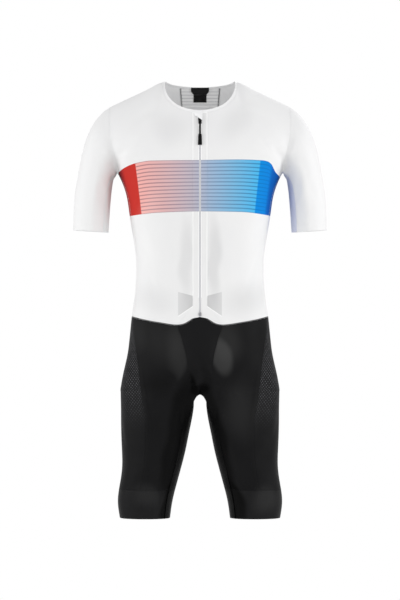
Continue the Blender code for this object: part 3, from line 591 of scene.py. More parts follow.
# Sections from the armhole to the cuff, by their highest outer and lowest inner point
SLEEVE = table(
    "share outer_x outer_drop inner_x inner_drop middle_y half_depth strip",
    (0, 205, 60, 188, 209, 0, 57, 26), (0.125, 223.5, 73.5, 193, 213, 0, 60, 31),
    (0.25, 241.5, 95, 197, 223, -1, 61, 36), (0.375, 256, 124, 199.5, 237, -2, 60, 40),
    (0.5, 266.5, 156, 201.5, 251, -3, 58, 43), (0.625, 274, 192, 203, 267, -4, 56, 45),
    (0.75, 280.5, 229, 204.5, 286, -5, 54, 46), (0.875, 286, 267, 206, 306, -6, 52, 46),
    (1, 289, 339, 208.5, 344.5, -7, 50, 45),
)


def fade(share, end):
    """Falls smoothly from 1 at the start to 0 at the end."""
    t = min(share / end, 1.0)
    return (1 - t) ** 2 * (1 + 2 * t)


def sleeve_section(turn, share):
    """A point of the left sleeve at an angle from its outer top (0), by its front (90) and inside (180)."""
    row = {name: read(SLEEVE, name, share) for name in SLEEVE}
    a, s = math.cos(math.radians(turn)), math.sin(math.radians(turn))
    x = mix(row["inner_x"], row["outer_x"], (1 + a) / 2)
    drop = mix(row["inner_drop"], row["outer_drop"], (1 + a) / 2)
    return Vector((x, row["middle_y"] - row["half_depth"] * s, -drop)) * MM


under = [body(seam(CHEST_DROP, 0), CHEST_DROP) for seam in side_seams]
loop = fronts[-1][::-1] + under[1:] + backs[0][1:]
strip_from, strip_to = len(fronts[-1]) - 1, len(fronts[-1]) - 1 + SIDE_STRIPS
high = Vector((SLEEVE["outer_x"][0], 0, -SLEEVE["outer_drop"][0])) * MM
low = Vector((SLEEVE["inner_x"][0], 0, -SLEEVE["inner_drop"][0])) * MM
turns = []
for p in loop:
    along = (p - (high + low) / 2).dot(high - low) / (high - low).length_squared * 2
    turn = math.degrees(math.atan2(-p.y / (SLEEVE["half_depth"][0] * MM), along))
    turns.append(turn if turn > -1 or len(turns) < strip_from else turn + 360)
turns[0], turns[-1] = 0.0, 360.0
offsets = [p - sleeve_section(turn, 0) for p, turn in zip(loop, turns)]


def turn_at(i, share):
    """A column's turn on a section, with the underarm strip widening towards the cuff."""
    half = read(SLEEVE, "strip", share)
    blend = min(share / SLEEVE_BLEND, 1)
    if i <= strip_from:
        front = mix(turns[strip_from], 180 - half, blend)
        return turns[i] * front / turns[strip_from]
    if i >= strip_to:
        back = mix(360 - turns[strip_to], 180 - half, blend)
        return 360 - (360 - turns[i]) * back / (360 - turns[strip_to])
    return mix(turn_at(strip_from, share), turn_at(strip_to, share), (i - strip_from) / SIDE_STRIPS)


rows = [loop]
for share in evenly(0, 1, SLEEVE_ROWS)[1:]:
    keep = fade(share, SLEEVE_BLEND)
    rows.append([sleeve_section(turn_at(i, share), share) + offsets[i] * keep for i in range(len(loop))])
rows = [row[::-1] for row in rows]
strip_from, strip_to = len(loop) - 1 - strip_to, len(loop) - 1 - strip_from
pattern.add("sleeve", [row[: strip_from + 1] for row in rows])
pattern.add("sleeve_under", [row[strip_from : strip_to + 1] for row in rows])
pattern.add("sleeve", [row[strip_to:] for row in rows])


# ---- Shorts pattern ----------------------------------------------------------------------------------
# The shorts hang from the waist seam. A shaped centre piece runs down the front, seats wrap from the back
# to the inner thigh, side pieces are of dimpled mesh, and a wide gripper band ends each leg.

CROTCH_DROP = 712.5
CROTCH_FRONT_DROP = 690.0
CROTCH_SIDE_DROP = 700.0
CROTCH_BACK_DROP = 695.0
CROTCH_FULLNESS = 0.15
LEG_BLEND = 0.36
GRIPPER_SEAM_DROP = 931.0
GRIPPER_SEAM_DIP = 5.0
GRIPPER_SEAM_LOW_TURN = 10.0
HEM_DROP = 996.0
HEM_DIP = 4.0
SEAT_STRIPS = BACK_STRIPS + 1
INSEAM_STRIPS = 3
HIP_ROWS = 6
LEG_SHARES = (0, 0.02, 0.06, 0.14, 0.27, 0.42, 0.6, 0.8, 1)
GRIPPER_ROWS = 2

FRONT_CENTRE = table("drop x", (554, 50), (597, 38.5), (631, 30.5), (665, 27), (690, 18), (705, 13))
LEG = table(
    "drop outer inner front back",
    (690, 180, 0, 94, 114), (713, 180, 0, 95, 108), (716, 180, 9.4, 95, 107), (720, 180, 12.8, 95, 106),
    (727, 180, 14.2, 95, 104), (742, 180, 14.8, 94, 101), (768, 180, 18.4, 92, 97),
    (795, 179.5, 24, 89, 93), (840, 178, 33, 83, 87), (868, 177.5, 40, 80, 83),
    (900, 178, 48.5, 74, 78), (918, 181, 53, 71, 74), (931, 185, 57, 69, 71), (950, 187, 61.5, 66, 67),
    (975, 187, 66, 63, 64), (996, 182, 68.5, 61, 62),
)
LEG_SEAMS = table(
    "share centre_front crease side_front side_back centre_back inseam",
    (0, -48, -42, 24, 132, 228, 270), (0.35, -49, -44, 13, 137, 229, 270),
    (1, -50, -46, 10, 140, 230, 270),
)


def front_panel_seam(drop, share):
    return angle_at(read(FRONT_CENTRE, "x", drop), drop)


def hip_drop(angle, share):
    """The drop of a hip row: rows run from the waist seam to the top of the legs."""
    side = CROTCH_FRONT_DROP if angle < 90 else CROTCH_BACK_DROP
    low = mix(side, CROTCH_SIDE_DROP, math.sin(math.radians(angle)) ** 2)
    return mix(waist_drop(angle), low, share)


def hip_row(seams, share):
    return [seam_point(seam, share, lambda angle: hip_drop(angle, share)) for seam in seams]


def centre_seam_at(place):
    """A seam of the front centre panel, whose strips are spaced by distance at every drop."""
    return lambda drop, share: angle_at(read(FRONT_CENTRE, "x", drop) * place, drop)


def crotch_line():
    """Points under the crotch, from centre back to centre front."""
    front, back = body(0, CROTCH_FRONT_DROP), body(180, CROTCH_BACK_DROP)
    points = []
    for share in evenly(0, 1, 2 * INSEAM_STRIPS):
        turn = math.radians(180 * share)
        end = back if share < 0.5 else front
        drop = mix(-end.z / MM, CROTCH_DROP, math.sin(turn) ** CROTCH_FULLNESS)
        points.append(Vector((0, abs(math.cos(turn)) * end.y, -drop * MM)))
    points[0], points[-1] = back, front
    return points


def leg_section(turn, drop):
    """A point of the left leg at an angle from its front (0), by its outside (90), to its inside (270)."""
    row = {name: read(LEG, name, drop) for name in LEG}
    s, c = math.sin(math.radians(turn)), math.cos(math.radians(turn))
    centre, half = (row["outer"] + row["inner"]) / 2, (row["outer"] - row["inner"]) / 2
    x = centre + half * power(s, 2 / ROUNDNESS)
    y = -row["front" if c > 0 else "back"] * power(c, 2 / ROUNDNESS)
    return Vector((x, y, -drop)) * MM


def leg_turns(share):
    """The angles of a leg ring's columns, from centre front by the outside and back round the inside."""
    seam = {name: read(LEG_SEAMS, name, share) for name in LEG_SEAMS}
    seam["end"] = seam["centre_front"] + 360
    stops = ("centre_front", "crease", "side_front", "side_back", "centre_back", "inseam", "end")
    strips = (BAND_STRIPS, FRONT_STRIPS, SIDE_STRIPS, SEAT_STRIPS, INSEAM_STRIPS, INSEAM_STRIPS)
    turns = [seam["centre_front"]]
    for first, last, count in zip(stops, stops[1:], strips):
        turns += evenly(seam[first], seam[last], count)[1:]
    return turns


def gripper_seam_drop(turn):
    """The gripper band's seam dips a little in front."""
    dip = (1 - math.cos(math.radians(turn - GRIPPER_SEAM_LOW_TURN))) / 2
    return GRIPPER_SEAM_DROP - GRIPPER_SEAM_DIP * dip


def hem_drop(turn):
    """The hem dips a little in front."""
    return HEM_DROP - HEM_DIP * (1 - math.cos(math.radians(turn))) / 2


waist = evenly(COIL_HALF_WIDTH, BAND_FLARE_HALF_WIDTH, BAND_STRIPS)[1:-1]
centre_seams = [centre_seam_at(x / BAND_FLARE_HALF_WIDTH) for x in waist]
centre_seams = [centre_front, *centre_seams, front_panel_seam]
leg_front_seams = between(front_panel_seam, side_front, FRONT_STRIPS)
seat_seams = back_seams + [centre_back]
for name, seams, mirror in (
    ("leg_front", leg_front_seams, True), ("leg_side", side_seams, True), ("seat", seat_seams, True),
    ("shorts_front_centre", centre_seams, False),
):
    pattern.add(name, [hip_row(seams, share) for share in evenly(0, 1, HIP_ROWS)], mirror)

top = hip_row(centre_seams + leg_front_seams[1:] + side_seams[1:] + seat_seams[1:], 1)
top += crotch_line()[1:]
start = [-p.z / MM for p in top]
offsets = [p - leg_section(turn, drop) for p, turn, drop in zip(top, leg_turns(0), start)]
rows = [top]
for share in LEG_SHARES[1:]:
    keep = fade(share, LEG_BLEND)
    turns = leg_turns(share)
    drops = [mix(a, gripper_seam_drop(turn), share) for a, turn in zip(start, turns)]
    rows.append([leg_section(t, d) + o * keep for t, d, o in zip(turns, drops, offsets)])
ends = np.cumsum([0, BAND_STRIPS + FRONT_STRIPS, SIDE_STRIPS, SEAT_STRIPS + INSEAM_STRIPS, INSEAM_STRIPS])
for name, first, last in zip(("leg_front", "leg_side", "seat", "leg_front"), ends, ends[1:]):
    pattern.add(name, [row[first : last + 1] for row in rows])
turns = leg_turns(1)
rows = [
    [leg_section(turn, mix(gripper_seam_drop(turn), hem_drop(turn), share)) for turn in turns]
    for share in evenly(0, 1, GRIPPER_ROWS)
]
pattern.add("leg_band", rows)


# ---- Smooth skin, with its folds ---------------------------------------------------------------------
# Two-way stretch cloth lies smooth over the form it is filled out on. It only folds softly where it is
# short of room: from the armpits, behind the waist, and round the top of the legs.

SMOOTH_LEVEL = 3
FIT_ROUNDS = 3
CREASE_POINTS = 9
CREASE_REACH = 4.0
RIDGE_SHARE = 0.42
RIDGE_AWAY = 1.9
RIDGE_WIDTH = 1.15
CREASE_FADE = 0.8
TONE_TURN = 2.5

# A crease's middle is where it crosses the trunk, its turn is from straight down towards the left side,
# and its bow is how far its middle bends aside. A negative depth is a ridge that stands out.
FRONT_CREASES = table(
    "x drop turn length width depth bow",
    (172, 168, 32, 88, 9, 2.6, 7), (158, 150, 44, 60, 7, 1.5, -5), (-174, 172, -30, 96, 10, 2.7, -8),
    (-160, 146, -47, 54, 6.5, 1.4, 4), (128, 84, 62, 70, 10, 1.4, 6), (-120, 80, -58, 84, 11, 1.5, -7),
    (132, 372, -14, 120, 11, 1.5, 9), (-128, 352, 17, 98, 12, 1.4, -6), (112, 446, -24, 84, 9, 1.1, 5),
    (-104, 462, 20, 76, 8, 1.2, -6), (40, 420, 6, 150, 12, 0.9, 4), (-42, 398, -5, 132, 13, 0.9, -5),
    (30, 506, 10, 60, 6, 0.8, 3), (-29, 500, -12, 66, 6, 0.8, -3), (22, 632, -14, 62, 7, 1.6, 5),
    (-24, 640, 16, 58, 7, 1.5, -4), (14, 668, 58, 44, 5, 1.8, 4), (-16, 674, -54, 40, 5, 1.6, -5),
)
BACK_CREASES = table(
    "x drop turn length width depth bow",
    (166, 170, 34, 92, 10, 2.7, 7), (-163, 176, -31, 84, 9, 2.4, -8), (140, 150, 50, 64, 8, 1.6, -4),
    (-146, 144, -46, 70, 8, 1.8, 5), (60, 470, 82, 116, 9, 2.0, 10), (-48, 486, 98, 98, 8, 1.8, -9),
    (84, 438, 74, 88, 8, 1.5, 8), (-92, 446, 101, 92, 8, 1.6, -6), (26, 514, 88, 70, 7, 1.2, 5),
    (0, 300, 4, 150, 13, 1.6, 3), (36, 664, 56, 74, 7, 2.0, 7), (-38, 670, -58, 68, 7, 1.9, -6),
    (70, 640, 66, 62, 7, 1.2, 5), (-74, 648, -62, 66, 7, 1.2, -6),
)

# On a leg the place is an angle from its front, by its outside, and a drop
LEFT_LEG_CREASES = table(
    "x drop turn length width depth bow",
    (-36, 722, -22, 56, 4.5, 2.2, 3), (-24, 706, -34, 70, 5.5, 1.9, 5), (-6, 716, 8, 40, 4.5, 1.5, -3),
    (-44, 748, -14, 54, 4.5, 1.6, 3), (22, 700, -48, 66, 7, 1.4, 6), (-28, 858, 16, 90, 10, 1.4, -6),
    (58, 790, -20, 80, 10, 1.1, 5), (112, 742, 24, 84, 9, 1.2, -5), (168, 722, 62, 70, 6, 2.0, 6),
    (188, 744, 52, 58, 6, 1.6, 5), (170, 880, 84, 74, 6, 1.8, 6), (182, 902, 80, 62, 5.5, 1.5, -5),
    (156, 862, 96, 54, 6, 1.2, 4), (250, 772, 10, 76, 6, 1.5, -4), (296, 742, -18, 60, 5, 1.6, 4),
)
RIGHT_LEG_CREASES = table(
    "x drop turn length width depth bow",
    (-38, 716, -18, 62, 4.5, 2.3, -3), (-22, 702, -40, 58, 5, 1.8, 5), (-42, 758, -10, 48, 4.5, 1.5, 3),
    (18, 708, -52, 58, 7, 1.5, 6), (-20, 840, 12, 100, 11, 1.4, -5), (64, 806, -16, 86, 10, 1.1, 5),
    (118, 734, 28, 78, 9, 1.4, -5), (172, 730, 58, 64, 6, 1.9, 6), (192, 752, 48, 52, 6, 1.5, 4),
    (174, 872, 88, 70, 6, 1.6, -6), (164, 896, 80, 58, 5.5, 1.5, 5), (254, 764, 14, 70, 6, 1.4, 4),
    (292, 750, -16, 66, 5, 1.6, -4),
)

# On a sleeve the place is an angle from its outer top, by its front, and a length down it
SLEEVE_LENGTH = 280.0
LEFT_SLEEVE_CREASES = table(
    "x drop turn length width depth bow",
    (132, 36, -26, 76, 8, 2.6, 6), (112, 62, -34, 82, 9, 1.8, -7), (150, 70, -12, 60, 7, 2.0, 4),
    (84, 120, -20, 96, 11, 1.5, 7), (124, 176, 16, 80, 9, 1.4, -5), (66, 214, -10, 74, 10, 1.1, 4),
    (232, 40, 26, 80, 8, 2.4, -6), (252, 74, 34, 72, 8, 1.9, 6), (282, 130, 18, 90, 11, 1.5, -6),
    (226, 160, -14, 66, 8, 1.6, 5),
)
RIGHT_SLEEVE_CREASES = table(
    "x drop turn length width depth bow",
    (130, 42, -24, 82, 8, 2.4, 6), (108, 70, -36, 74, 9, 1.9, -6), (146, 84, -14, 56, 7, 1.9, 4),
    (88, 132, -18, 88, 11, 1.4, 6), (120, 190, 18, 72, 9, 1.4, -5), (230, 46, 24, 84, 8, 2.4, -6),
    (254, 86, 32, 66, 8, 1.8, 5), (278, 140, 16, 86, 11, 1.5, -6),
)

# Soft ovals of painted light and shade on the cloth: a positive lift is a painted highlight, a negative one
# painted shade
FRONT_PAINTED_LIGHT = table(
    "x drop half_width half_height turn soft lift",
    (32, 408, 15, 84, 0, 0.5, -0.3), (-31, 402, 15, 78, 0, 0.5, -0.24),
    (-70, 108, 36, 30, -40, 0.8, -0.16), (80, 92, 42, 26, 52, 0.8, -0.16),
    (-112, 350, 22, 70, -4, 0.8, 0.1), (104, 496, 44, 30, 6, 0.9, -0.26),
    (-108, 498, 40, 28, -4, 0.9, -0.16), (48, 624, 24, 40, 8, 0.3, 0.42),
    (60, 592, 32, 44, 0, 0.6, 0.22), (-42, 622, 26, 62, 2, 0.7, 0.23), (-78, 588, 38, 46, 0, 0.8, 0.14),
    (-140, 578, 16, 34, 0, 0.8, 0.14), (-92, 690, 30, 24, 20, 0.7, -0.3),
    (92, 748, 28, 54, 4, 0.8, 0.16), (-50, 816, 29, 156, -10, 0.3, -0.66),
    (46, 830, 17, 165, 13, 0.4, -0.62), (2, 704, 18, 12, 0, 0.6, -0.75),
    (-15, 690, 5, 25, 24, 0.7, -0.6), (-70, 966, 18, 52, -10, 0.3, -0.9),
    (78, 962, 23, 56, 20, 0.3, -0.9), (-124, 944, 26, 22, 0, 0.7, 0.16),
    (146, 954, 24, 26, 10, 0.7, 0.2),
)
BACK_PAINTED_LIGHT = table(
    "x drop half_width half_height turn soft lift",
    (58, 420, 40, 90, -6, 0.8, -0.14), (-62, 410, 38, 84, 8, 0.8, -0.16),
    (66, 628, 42, 52, 12, 0.7, 0.34), (-70, 634, 44, 48, -10, 0.7, 0.3), (0, 690, 30, 40, 0, 0.6, -0.6),
    (92, 850, 30, 110, 4, 0.8, -0.3), (-90, 846, 32, 104, -4, 0.8, -0.3),
)
TONE_WAVES = ((23.0, 3.0, 1.3), (11.0, 1.4, 0.2))

# The two woven edges of the closed zip stand up as welts, with the coil's teeth down between them
WELT_HEIGHT = 0.45
WELT_VALLEY = 0.75
VALLEY_WIDTH = 0.4


def drawn_smooth(level):
    """The pattern's surface drawn smooth at a subdivision level."""
    smooth.levels = smooth.render_levels = level
    bpy.context.view_layer.update()
    return bpy.data.meshes.new_from_object(drawn.evaluated_get(bpy.context.evaluated_depsgraph_get()))


def array_of(items, name, width, kind=float):
    """A property of all of a mesh's items as an array."""
    values = np.empty(len(items) * width, kind)
    items.foreach_get(name, values)
    return values.reshape(-1, width) if width > 1 else values


def outward_at(points, quads):
    """The outward direction at each point of the skin."""
    across = np.cross(points[quads[:, 2]] - points[quads[:, 0]], points[quads[:, 3]] - points[quads[:, 1]])
    total = np.zeros_like(points)
    for k in range(4):
        np.add.at(total, quads[:, k], across)
    return total / np.linalg.norm(total, axis=1, keepdims=True)


def crease_line(place, x, drop, turn, length, bow):
    """Points along a crease, found on the pattern's surface."""
    s, c = math.sin(math.radians(turn)), math.cos(math.radians(turn))
    line = []
    for share in np.linspace(-1, 1, CREASE_POINTS):
        along, aside = share * length / 2, bow * (1 - share**2)
        line.append(place(x + along * s + aside * c, drop + along * c - aside * s))
    return np.array(line)


def press(points, outward, rows, place):
    """Presses each crease in as a soft trough beside a low ridge; both fade out at its ends."""
    for x, drop, turn, length, width, depth, bow in zip(*rows.values()):
        line = crease_line(place, x, drop, turn, length, bow)
        reach = CREASE_REACH * width * MM
        near = np.all((points > line.min(0) - reach) & (points < line.max(0) + reach), axis=1)
        near = np.flatnonzero(near)
        first, step = line[:-1], np.diff(line, axis=0)
        gap = points[near][:, None] - first
        t = np.clip((gap * step).sum(2) / (step**2).sum(1), 0, 1)
        gap = gap - t[:, :, None] * step
        away = np.linalg.norm(gap, axis=2)
        best = away.argmin(1)
        pick = np.arange(len(near))
        share = (best + t[pick, best]) / len(step)
        side = np.sign((np.cross(outward[near], step[best]) * gap[pick, best]).sum(1))
        d = away[pick, best] / (width * MM)
        ridge = RIDGE_SHARE * np.exp(-(((side * d - RIDGE_AWAY) / RIDGE_WIDTH) ** 2))
        profile = (np.exp(-(d**2)) - ridge) * np.sin(np.pi * share) ** CREASE_FADE
        points[near] -= outward[near] * (profile * depth * MM)[:, None]


def painted_tone_at(points, outward, rows, facing):
    """The painted light and shade at each point that faces a way along Y: how much lighter or darker it is
    painted.
    """
    x, drop = points[:, 0] / MM, -points[:, 2] / MM
    for pitch, reach, start in TONE_WAVES:
        x, drop = x + reach * np.sin(drop / pitch + start), drop + reach * np.sin(x / pitch + start)
    painted_tone = np.zeros(len(points))
    for mid, middle_drop, half_width, half_height, turn, soft, lift in zip(*rows.values()):
        s, c = math.sin(math.radians(turn)), math.cos(math.radians(turn))
        across = ((x - mid) * c - (drop - middle_drop) * s) / half_width
        along = ((x - mid) * s + (drop - middle_drop) * c) / half_height
        t = np.clip((1 + soft - np.hypot(across, along)) / (2 * soft), 0, 1)
        painted_tone += lift * t * t * (3 - 2 * t)
    return painted_tone * np.clip(facing * outward[:, 1] * TONE_TURN, 0, 1)


def mirrored(place):
    """The same place on the right side."""
    return lambda u, v: place(u, v) * Vector((-1, 1, 1))


def down_sleeve(turn, down):
    return sleeve_section(turn, min(max(down / SLEEVE_LENGTH, 0), 1))


coarse = bpy.data.meshes.new("pattern")
coarse.from_pydata(pattern.points, [], pattern.cells)
coarse.polygons.foreach_set("material_index", pattern.panel_of)
coarse.uv_layers.new(name="cut").uv.foreach_set("vector", np.ravel(pattern.flat))
drawn = bpy.data.objects.new("pattern", coarse)
bpy.context.scene.collection.objects.link(drawn)
smooth = drawn.modifiers.new("smooth", "SUBSURF")

# Subdivision draws the surface in from its corners, so they are moved out until it passes through them
wanted = np.array(pattern.points)
control = wanted.copy()
for _ in range(FIT_ROUNDS):
    reached = array_of(drawn_smooth(1).vertices, "co", 3)[: len(wanted)]
    control += wanted - reached
    coarse.vertices.foreach_set("co", control.ravel())
    coarse.update()

fine = drawn_smooth(SMOOTH_LEVEL)
points = array_of(fine.vertices, "co", 3)
quads = array_of(fine.loops, "vertex_index", 1, np.int32).reshape(-1, 4)
panel_at = array_of(fine.polygons, "material_index", 1, np.int32)
flat_at = array_of(fine.uv_layers["cut"].uv, "vector", 2).reshape(-1, 4, 2)
bpy.data.objects.remove(drawn)

outward = outward_at(points, quads)
for rows, place in (
    (FRONT_CREASES, front_at), (BACK_CREASES, back_at), (LEFT_LEG_CREASES, leg_section),
    (RIGHT_LEG_CREASES, mirrored(leg_section)),
    (LEFT_SLEEVE_CREASES, down_sleeve),
    (RIGHT_SLEEVE_CREASES, mirrored(down_sleeve)),
):
    press(points, outward, rows, place)

# A crease beside the middle must not carry a panel over it
for side, end in ((1, "_left"), (-1, "_right")):
    own = [n for n, name in enumerate(pattern.panels) if name.endswith(end)]
    chosen = np.unique(quads[np.isin(panel_at, own)])
    points[chosen, 0] = side * np.maximum(side * points[chosen, 0], 0)

coil = np.unique(quads[panel_at == pattern.panels.index("zip_coil")])
x = np.abs(points[coil, 0]) / MM
welt = WELT_HEIGHT * np.sin(np.pi * np.clip(x / COIL_HALF_WIDTH, 0, 1))
welt -= WELT_VALLEY * np.exp(-((x / VALLEY_WIDTH) ** 2))
points[coil] += outward[coil] * (welt * MM)[:, None]
outward = outward_at(points, quads)
# Painted highlights and painted shade, kept on each point of the skin
painted_tones = painted_tone_at(points, outward, FRONT_PAINTED_LIGHT, -1) + painted_tone_at(points, outward, BACK_PAINTED_LIGHT, 1)


# ---- Cutting the panels ------------------------------------------------------------------------------
# Every panel is laser cut from its own cloth and joined edge to edge, so it is made as one closed shell
# with a face, a lining side and a rounded cut edge, and it meets its neighbours wall to wall.

CLOTH_THICKNESS = 1.2
EDGE_ROUND = 0.3
BORDER_STEPS = 5
BORDER_REACH = 14.0
HALF_TURN_SHARE = 1 - math.sqrt(0.5)


def unit(vectors):
    return vectors / np.linalg.norm(vectors, axis=1, keepdims=True)


def border_of(local):
    """The corners at which a panel's border edges start, as places in the flattened list of corners."""
    first, second = local.ravel(), np.roll(local, -1, axis=1).ravel()
    count = local.max() + 1
    return np.flatnonzero(~np.isin(first * count + second, second * count + first))


def inward_at(place, normal, faces, first, second, starts):
    """At each border point, the way into the panel along the cloth; it has no length elsewhere."""
    corners = place[faces[starts // 4]]
    square = np.cross(corners[:, 2] - corners[:, 0], corners[:, 3] - corners[:, 1])
    side = unit(np.cross(square, place[second] - place[first]))
    total = np.zeros_like(place)
    for ends in (first, second):
        level = side - normal[ends] * (side * normal[ends]).sum(1)[:, None]
        np.add.at(total, ends, unit(level))
    return total


def from_border(place, first, second):
    """How far each point of a panel lies from the panel's border."""
    steps = np.linspace(0, 1, BORDER_STEPS, endpoint=False)[:, None, None]
    border = (place[first] * (1 - steps) + place[second] * steps).reshape(-1, 3)
    tree = KDTree(len(border))
    for i, p in enumerate(border):
        tree.insert(p, i)
    tree.balance()
    return np.array([min(tree.find(p)[2], BORDER_REACH * MM) for p in place])


def print_place(place):
    """Where points lie in the printed chest band: distance from the middle, and share of its height."""
    x, drop = place[:, 0] / MM, -place[:, 2] / MM
    top, foot = (np.interp(x, BAND_X, edge) for edge in (BAND_TOPS, BAND_FEET))
    return np.stack([place[:, 0], (drop - top) / (foot - top)], axis=1)


def cloth_mesh(name, place, normal, faces, flat, wall, extra=None, painted_tone=None):
    """The closed shell of a piece of cloth, from the points and outward directions of its face."""
    starts = border_of(faces)
    first, second = faces.ravel()[starts], np.roll(faces, -1, axis=1).ravel()[starts]
    away = from_border(place, first, second)
    inward = inward_at(place, normal, faces, first, second, starts)
    edge = np.unique(first)
    rim = np.full(len(place), -1)
    rim[edge] = np.arange(len(edge))
    line, n, m, r = place[edge], normal[edge], unit(inward[edge]), EDGE_ROUND * MM
    face = place.copy()
    face[edge] = line + m * r
    rings = [line + (m - n) * (r * HALF_TURN_SHARE), line - n * r, line - n * (wall * MM - r)]
    verts = np.concatenate([face, face - normal * (wall * MM), *rings])
    normals = np.concatenate([normal, -normal, unit(n - m), -m, -m])

    bases = 2 * len(place) + np.arange(3) * len(edge)
    levels = [(first, second)] + [(base + rim[first], base + rim[second]) for base in bases]
    levels.append((len(place) + first, len(place) + second))
    around = [np.stack([b, a, c, d], axis=1) for (a, b), (c, d) in zip(levels, levels[1:])]
    all_faces = np.concatenate([faces, faces[:, ::-1] + len(place), *around])
    corner = flat.reshape(-1, 2)
    after = starts // 4 * 4 + (starts % 4 + 1) % 4
    strip = np.stack([corner[after], corner[starts], corner[starts], corner[after]], axis=1)
    all_flat = np.concatenate([flat, flat[:, ::-1], *[strip] * len(around)])

    mesh = bpy.data.meshes.new(name)
    mesh.from_pydata(verts, [], all_faces)
    mesh.uv_layers.new(name="cut").uv.foreach_set("vector", all_flat.ravel())
    if extra is not None:
        spread = np.concatenate([extra, extra, *[extra[edge]] * len(rings)])
        layer = mesh.uv_layers.new(name="print")
        layer.uv.foreach_set("vector", spread[all_faces.ravel()].ravel())
    from_edge = np.concatenate([away, away, np.zeros(len(edge) * len(rings))])
    mesh.attributes.new("from_edge", "FLOAT", "POINT").data.foreach_set("value", from_edge)
    if painted_tone is not None:
        spread = np.concatenate([painted_tone, painted_tone, *[painted_tone[edge]] * len(rings)])
        mesh.attributes.new("painted_tone", "FLOAT", "POINT").data.foreach_set("value", spread)
    mesh.shade_smooth()
    mesh.normals_split_custom_set_from_vertices(normals)
    return mesh


def add_piece(name, mesh, material, slot, node_name=None):
    """Puts a finished mesh into the scene as a piece of the suit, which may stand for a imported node."""
    mesh.materials.append(material)
    piece = bpy.data.objects.new(name, mesh)
    bpy.context.scene.collection.objects.link(piece)
    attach(piece, "suit")
    if node_name:
        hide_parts(node_name)
    return piece


def cut(panel, material, slot, wall=CLOTH_THICKNESS, lining=None):
    """Cuts a panel out of the skin and sews it into the suit; its lining side may be another material."""
    chosen = panel_at == pattern.panels.index(panel)
    used, local = np.unique(quads[chosen], return_inverse=True)
    place, faces, extra = points[used], local.reshape(-1, 4), print_place(points[used])
    name = "cloth_" + panel
    mesh = cloth_mesh(name, place, outward[used], faces, flat_at[chosen], wall, extra, painted_tones[used])
    piece = add_piece(name, mesh, material, slot, panel)
    if lining:
        mesh.materials.append(lining)
        index = np.zeros(len(mesh.polygons), np.int32)
        index[chosen.sum() : 2 * chosen.sum()] = 1
        mesh.polygons.foreach_set("material_index", index)
    return piece


def stretched(piece, width, length, share, trims=()):
    """Declares nothing: the piece, its cut size in millimetres and the share of it that is cloth are not
    used, and the trims are only made into a list.
    """
    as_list(trims)


def cut_pair(panel, size, *cloth, **lined):
    """Cuts a panel and its mirror image, and passes both to stretched with one size."""
    for side in ("_left", "_right"):
        stretched(cut(panel + side, *cloth, **lined), *size)


# ---- White jersey: fronts, back and sleeves ----------------------------------------------------------
# The upper is warp-knitted polyester and elastane, white, light and close, with the chest band printed
# into its face before it was cut. Its brushed lining side stays plain white.

# The printed band's edges, by distance from the middle; it runs on round the back
BAND_TOP = table(
    "x drop",
    (-185, 208), (-175, 200), (-148, 188.5), (-110, 182.5), (0, 181.5), (90, 180), (141, 181.5),
    (154, 184), (163, 191), (167, 199), (171, 207), (185, 221),
)
BAND_FOOT = table("x drop", (-185, 310), (-90, 300), (0, 297.5), (90, 298.5), (185, 310))
BAND_X = np.linspace(-185, 185, 186)
BAND_TOPS, BAND_FEET = ([read(edge, "drop", x) for x in BAND_X] for edge in (BAND_TOP, BAND_FOOT))

# Red fades through lilac grey into sky blue, between a plain red block and plain blue ones. At both ends
# the colour darkens into painted shade where the body turns away at the sides
BAND_PRINT_AND_SIDE_SHADE = (
    (-185, "#5E151B"), (-179, "#A3282A"), (-173, "#C33029"), (-146.5, "#C5342B"), (-146, "#F2B0A9"),
    (-90, "#DFB4B4"), (-16, "#BFB8C4"), (24, "#A0B8D3"), (84, "#79B9DF"), (137, "#48B6EA"),
    (137.5, "#0089DC"), (161, "#0080D6"), (167, "#005DB6"), (177, "#0054A8"), (185, "#04306E"),
)
BLOCK_SLANT = 0.107
PINSTRIPES = 14.0
STRIPE_CORE = 0.44
STRIPE_EDGE = 0.26
STRIPE_STRENGTHS = (
    (-185, 0.0), (-146.5, 0.0), (-146, 0.62), (0, 0.5), (137, 0.62), (137.5, 0.34), (160, 0.2),
    (167, 0.0),
)

# Wales 2.2 mm apart are drawn coarser than the real ones of 0.5 mm, so that they show
KNIT_PITCH = 2.2
KNIT_DEPTH = 0.05
HAND_SIZE = 38.0
HAND_DEPTH = 0.35
SEAM_SWELL = 3.2
SEAM_DEPTH = 0.25

# The inner pocket's patch, by half width and by the drop and slope of its top and foot
POCKET_HALF_WIDTH = 49.5
POCKET_TOP = (493.0, 0.27)
POCKET_FOOT = (501.4, 0.68)
POCKET_PIPING = 0.8
POCKET_FADE = (14, 55, 0.75, 0.4)


def stops_across(elements, stops, colour_of):
    """Sets a ramp's stops, which are given by their places across the printed band."""
    low, high = BAND_X[0], BAND_X[-1]
    elements.remove(elements[1])
    elements[0].color = colour_of(stops[0][1])
    for place, value in stops[1:]:
        elements.new((place - low) / (high - low)).color = colour_of(value)


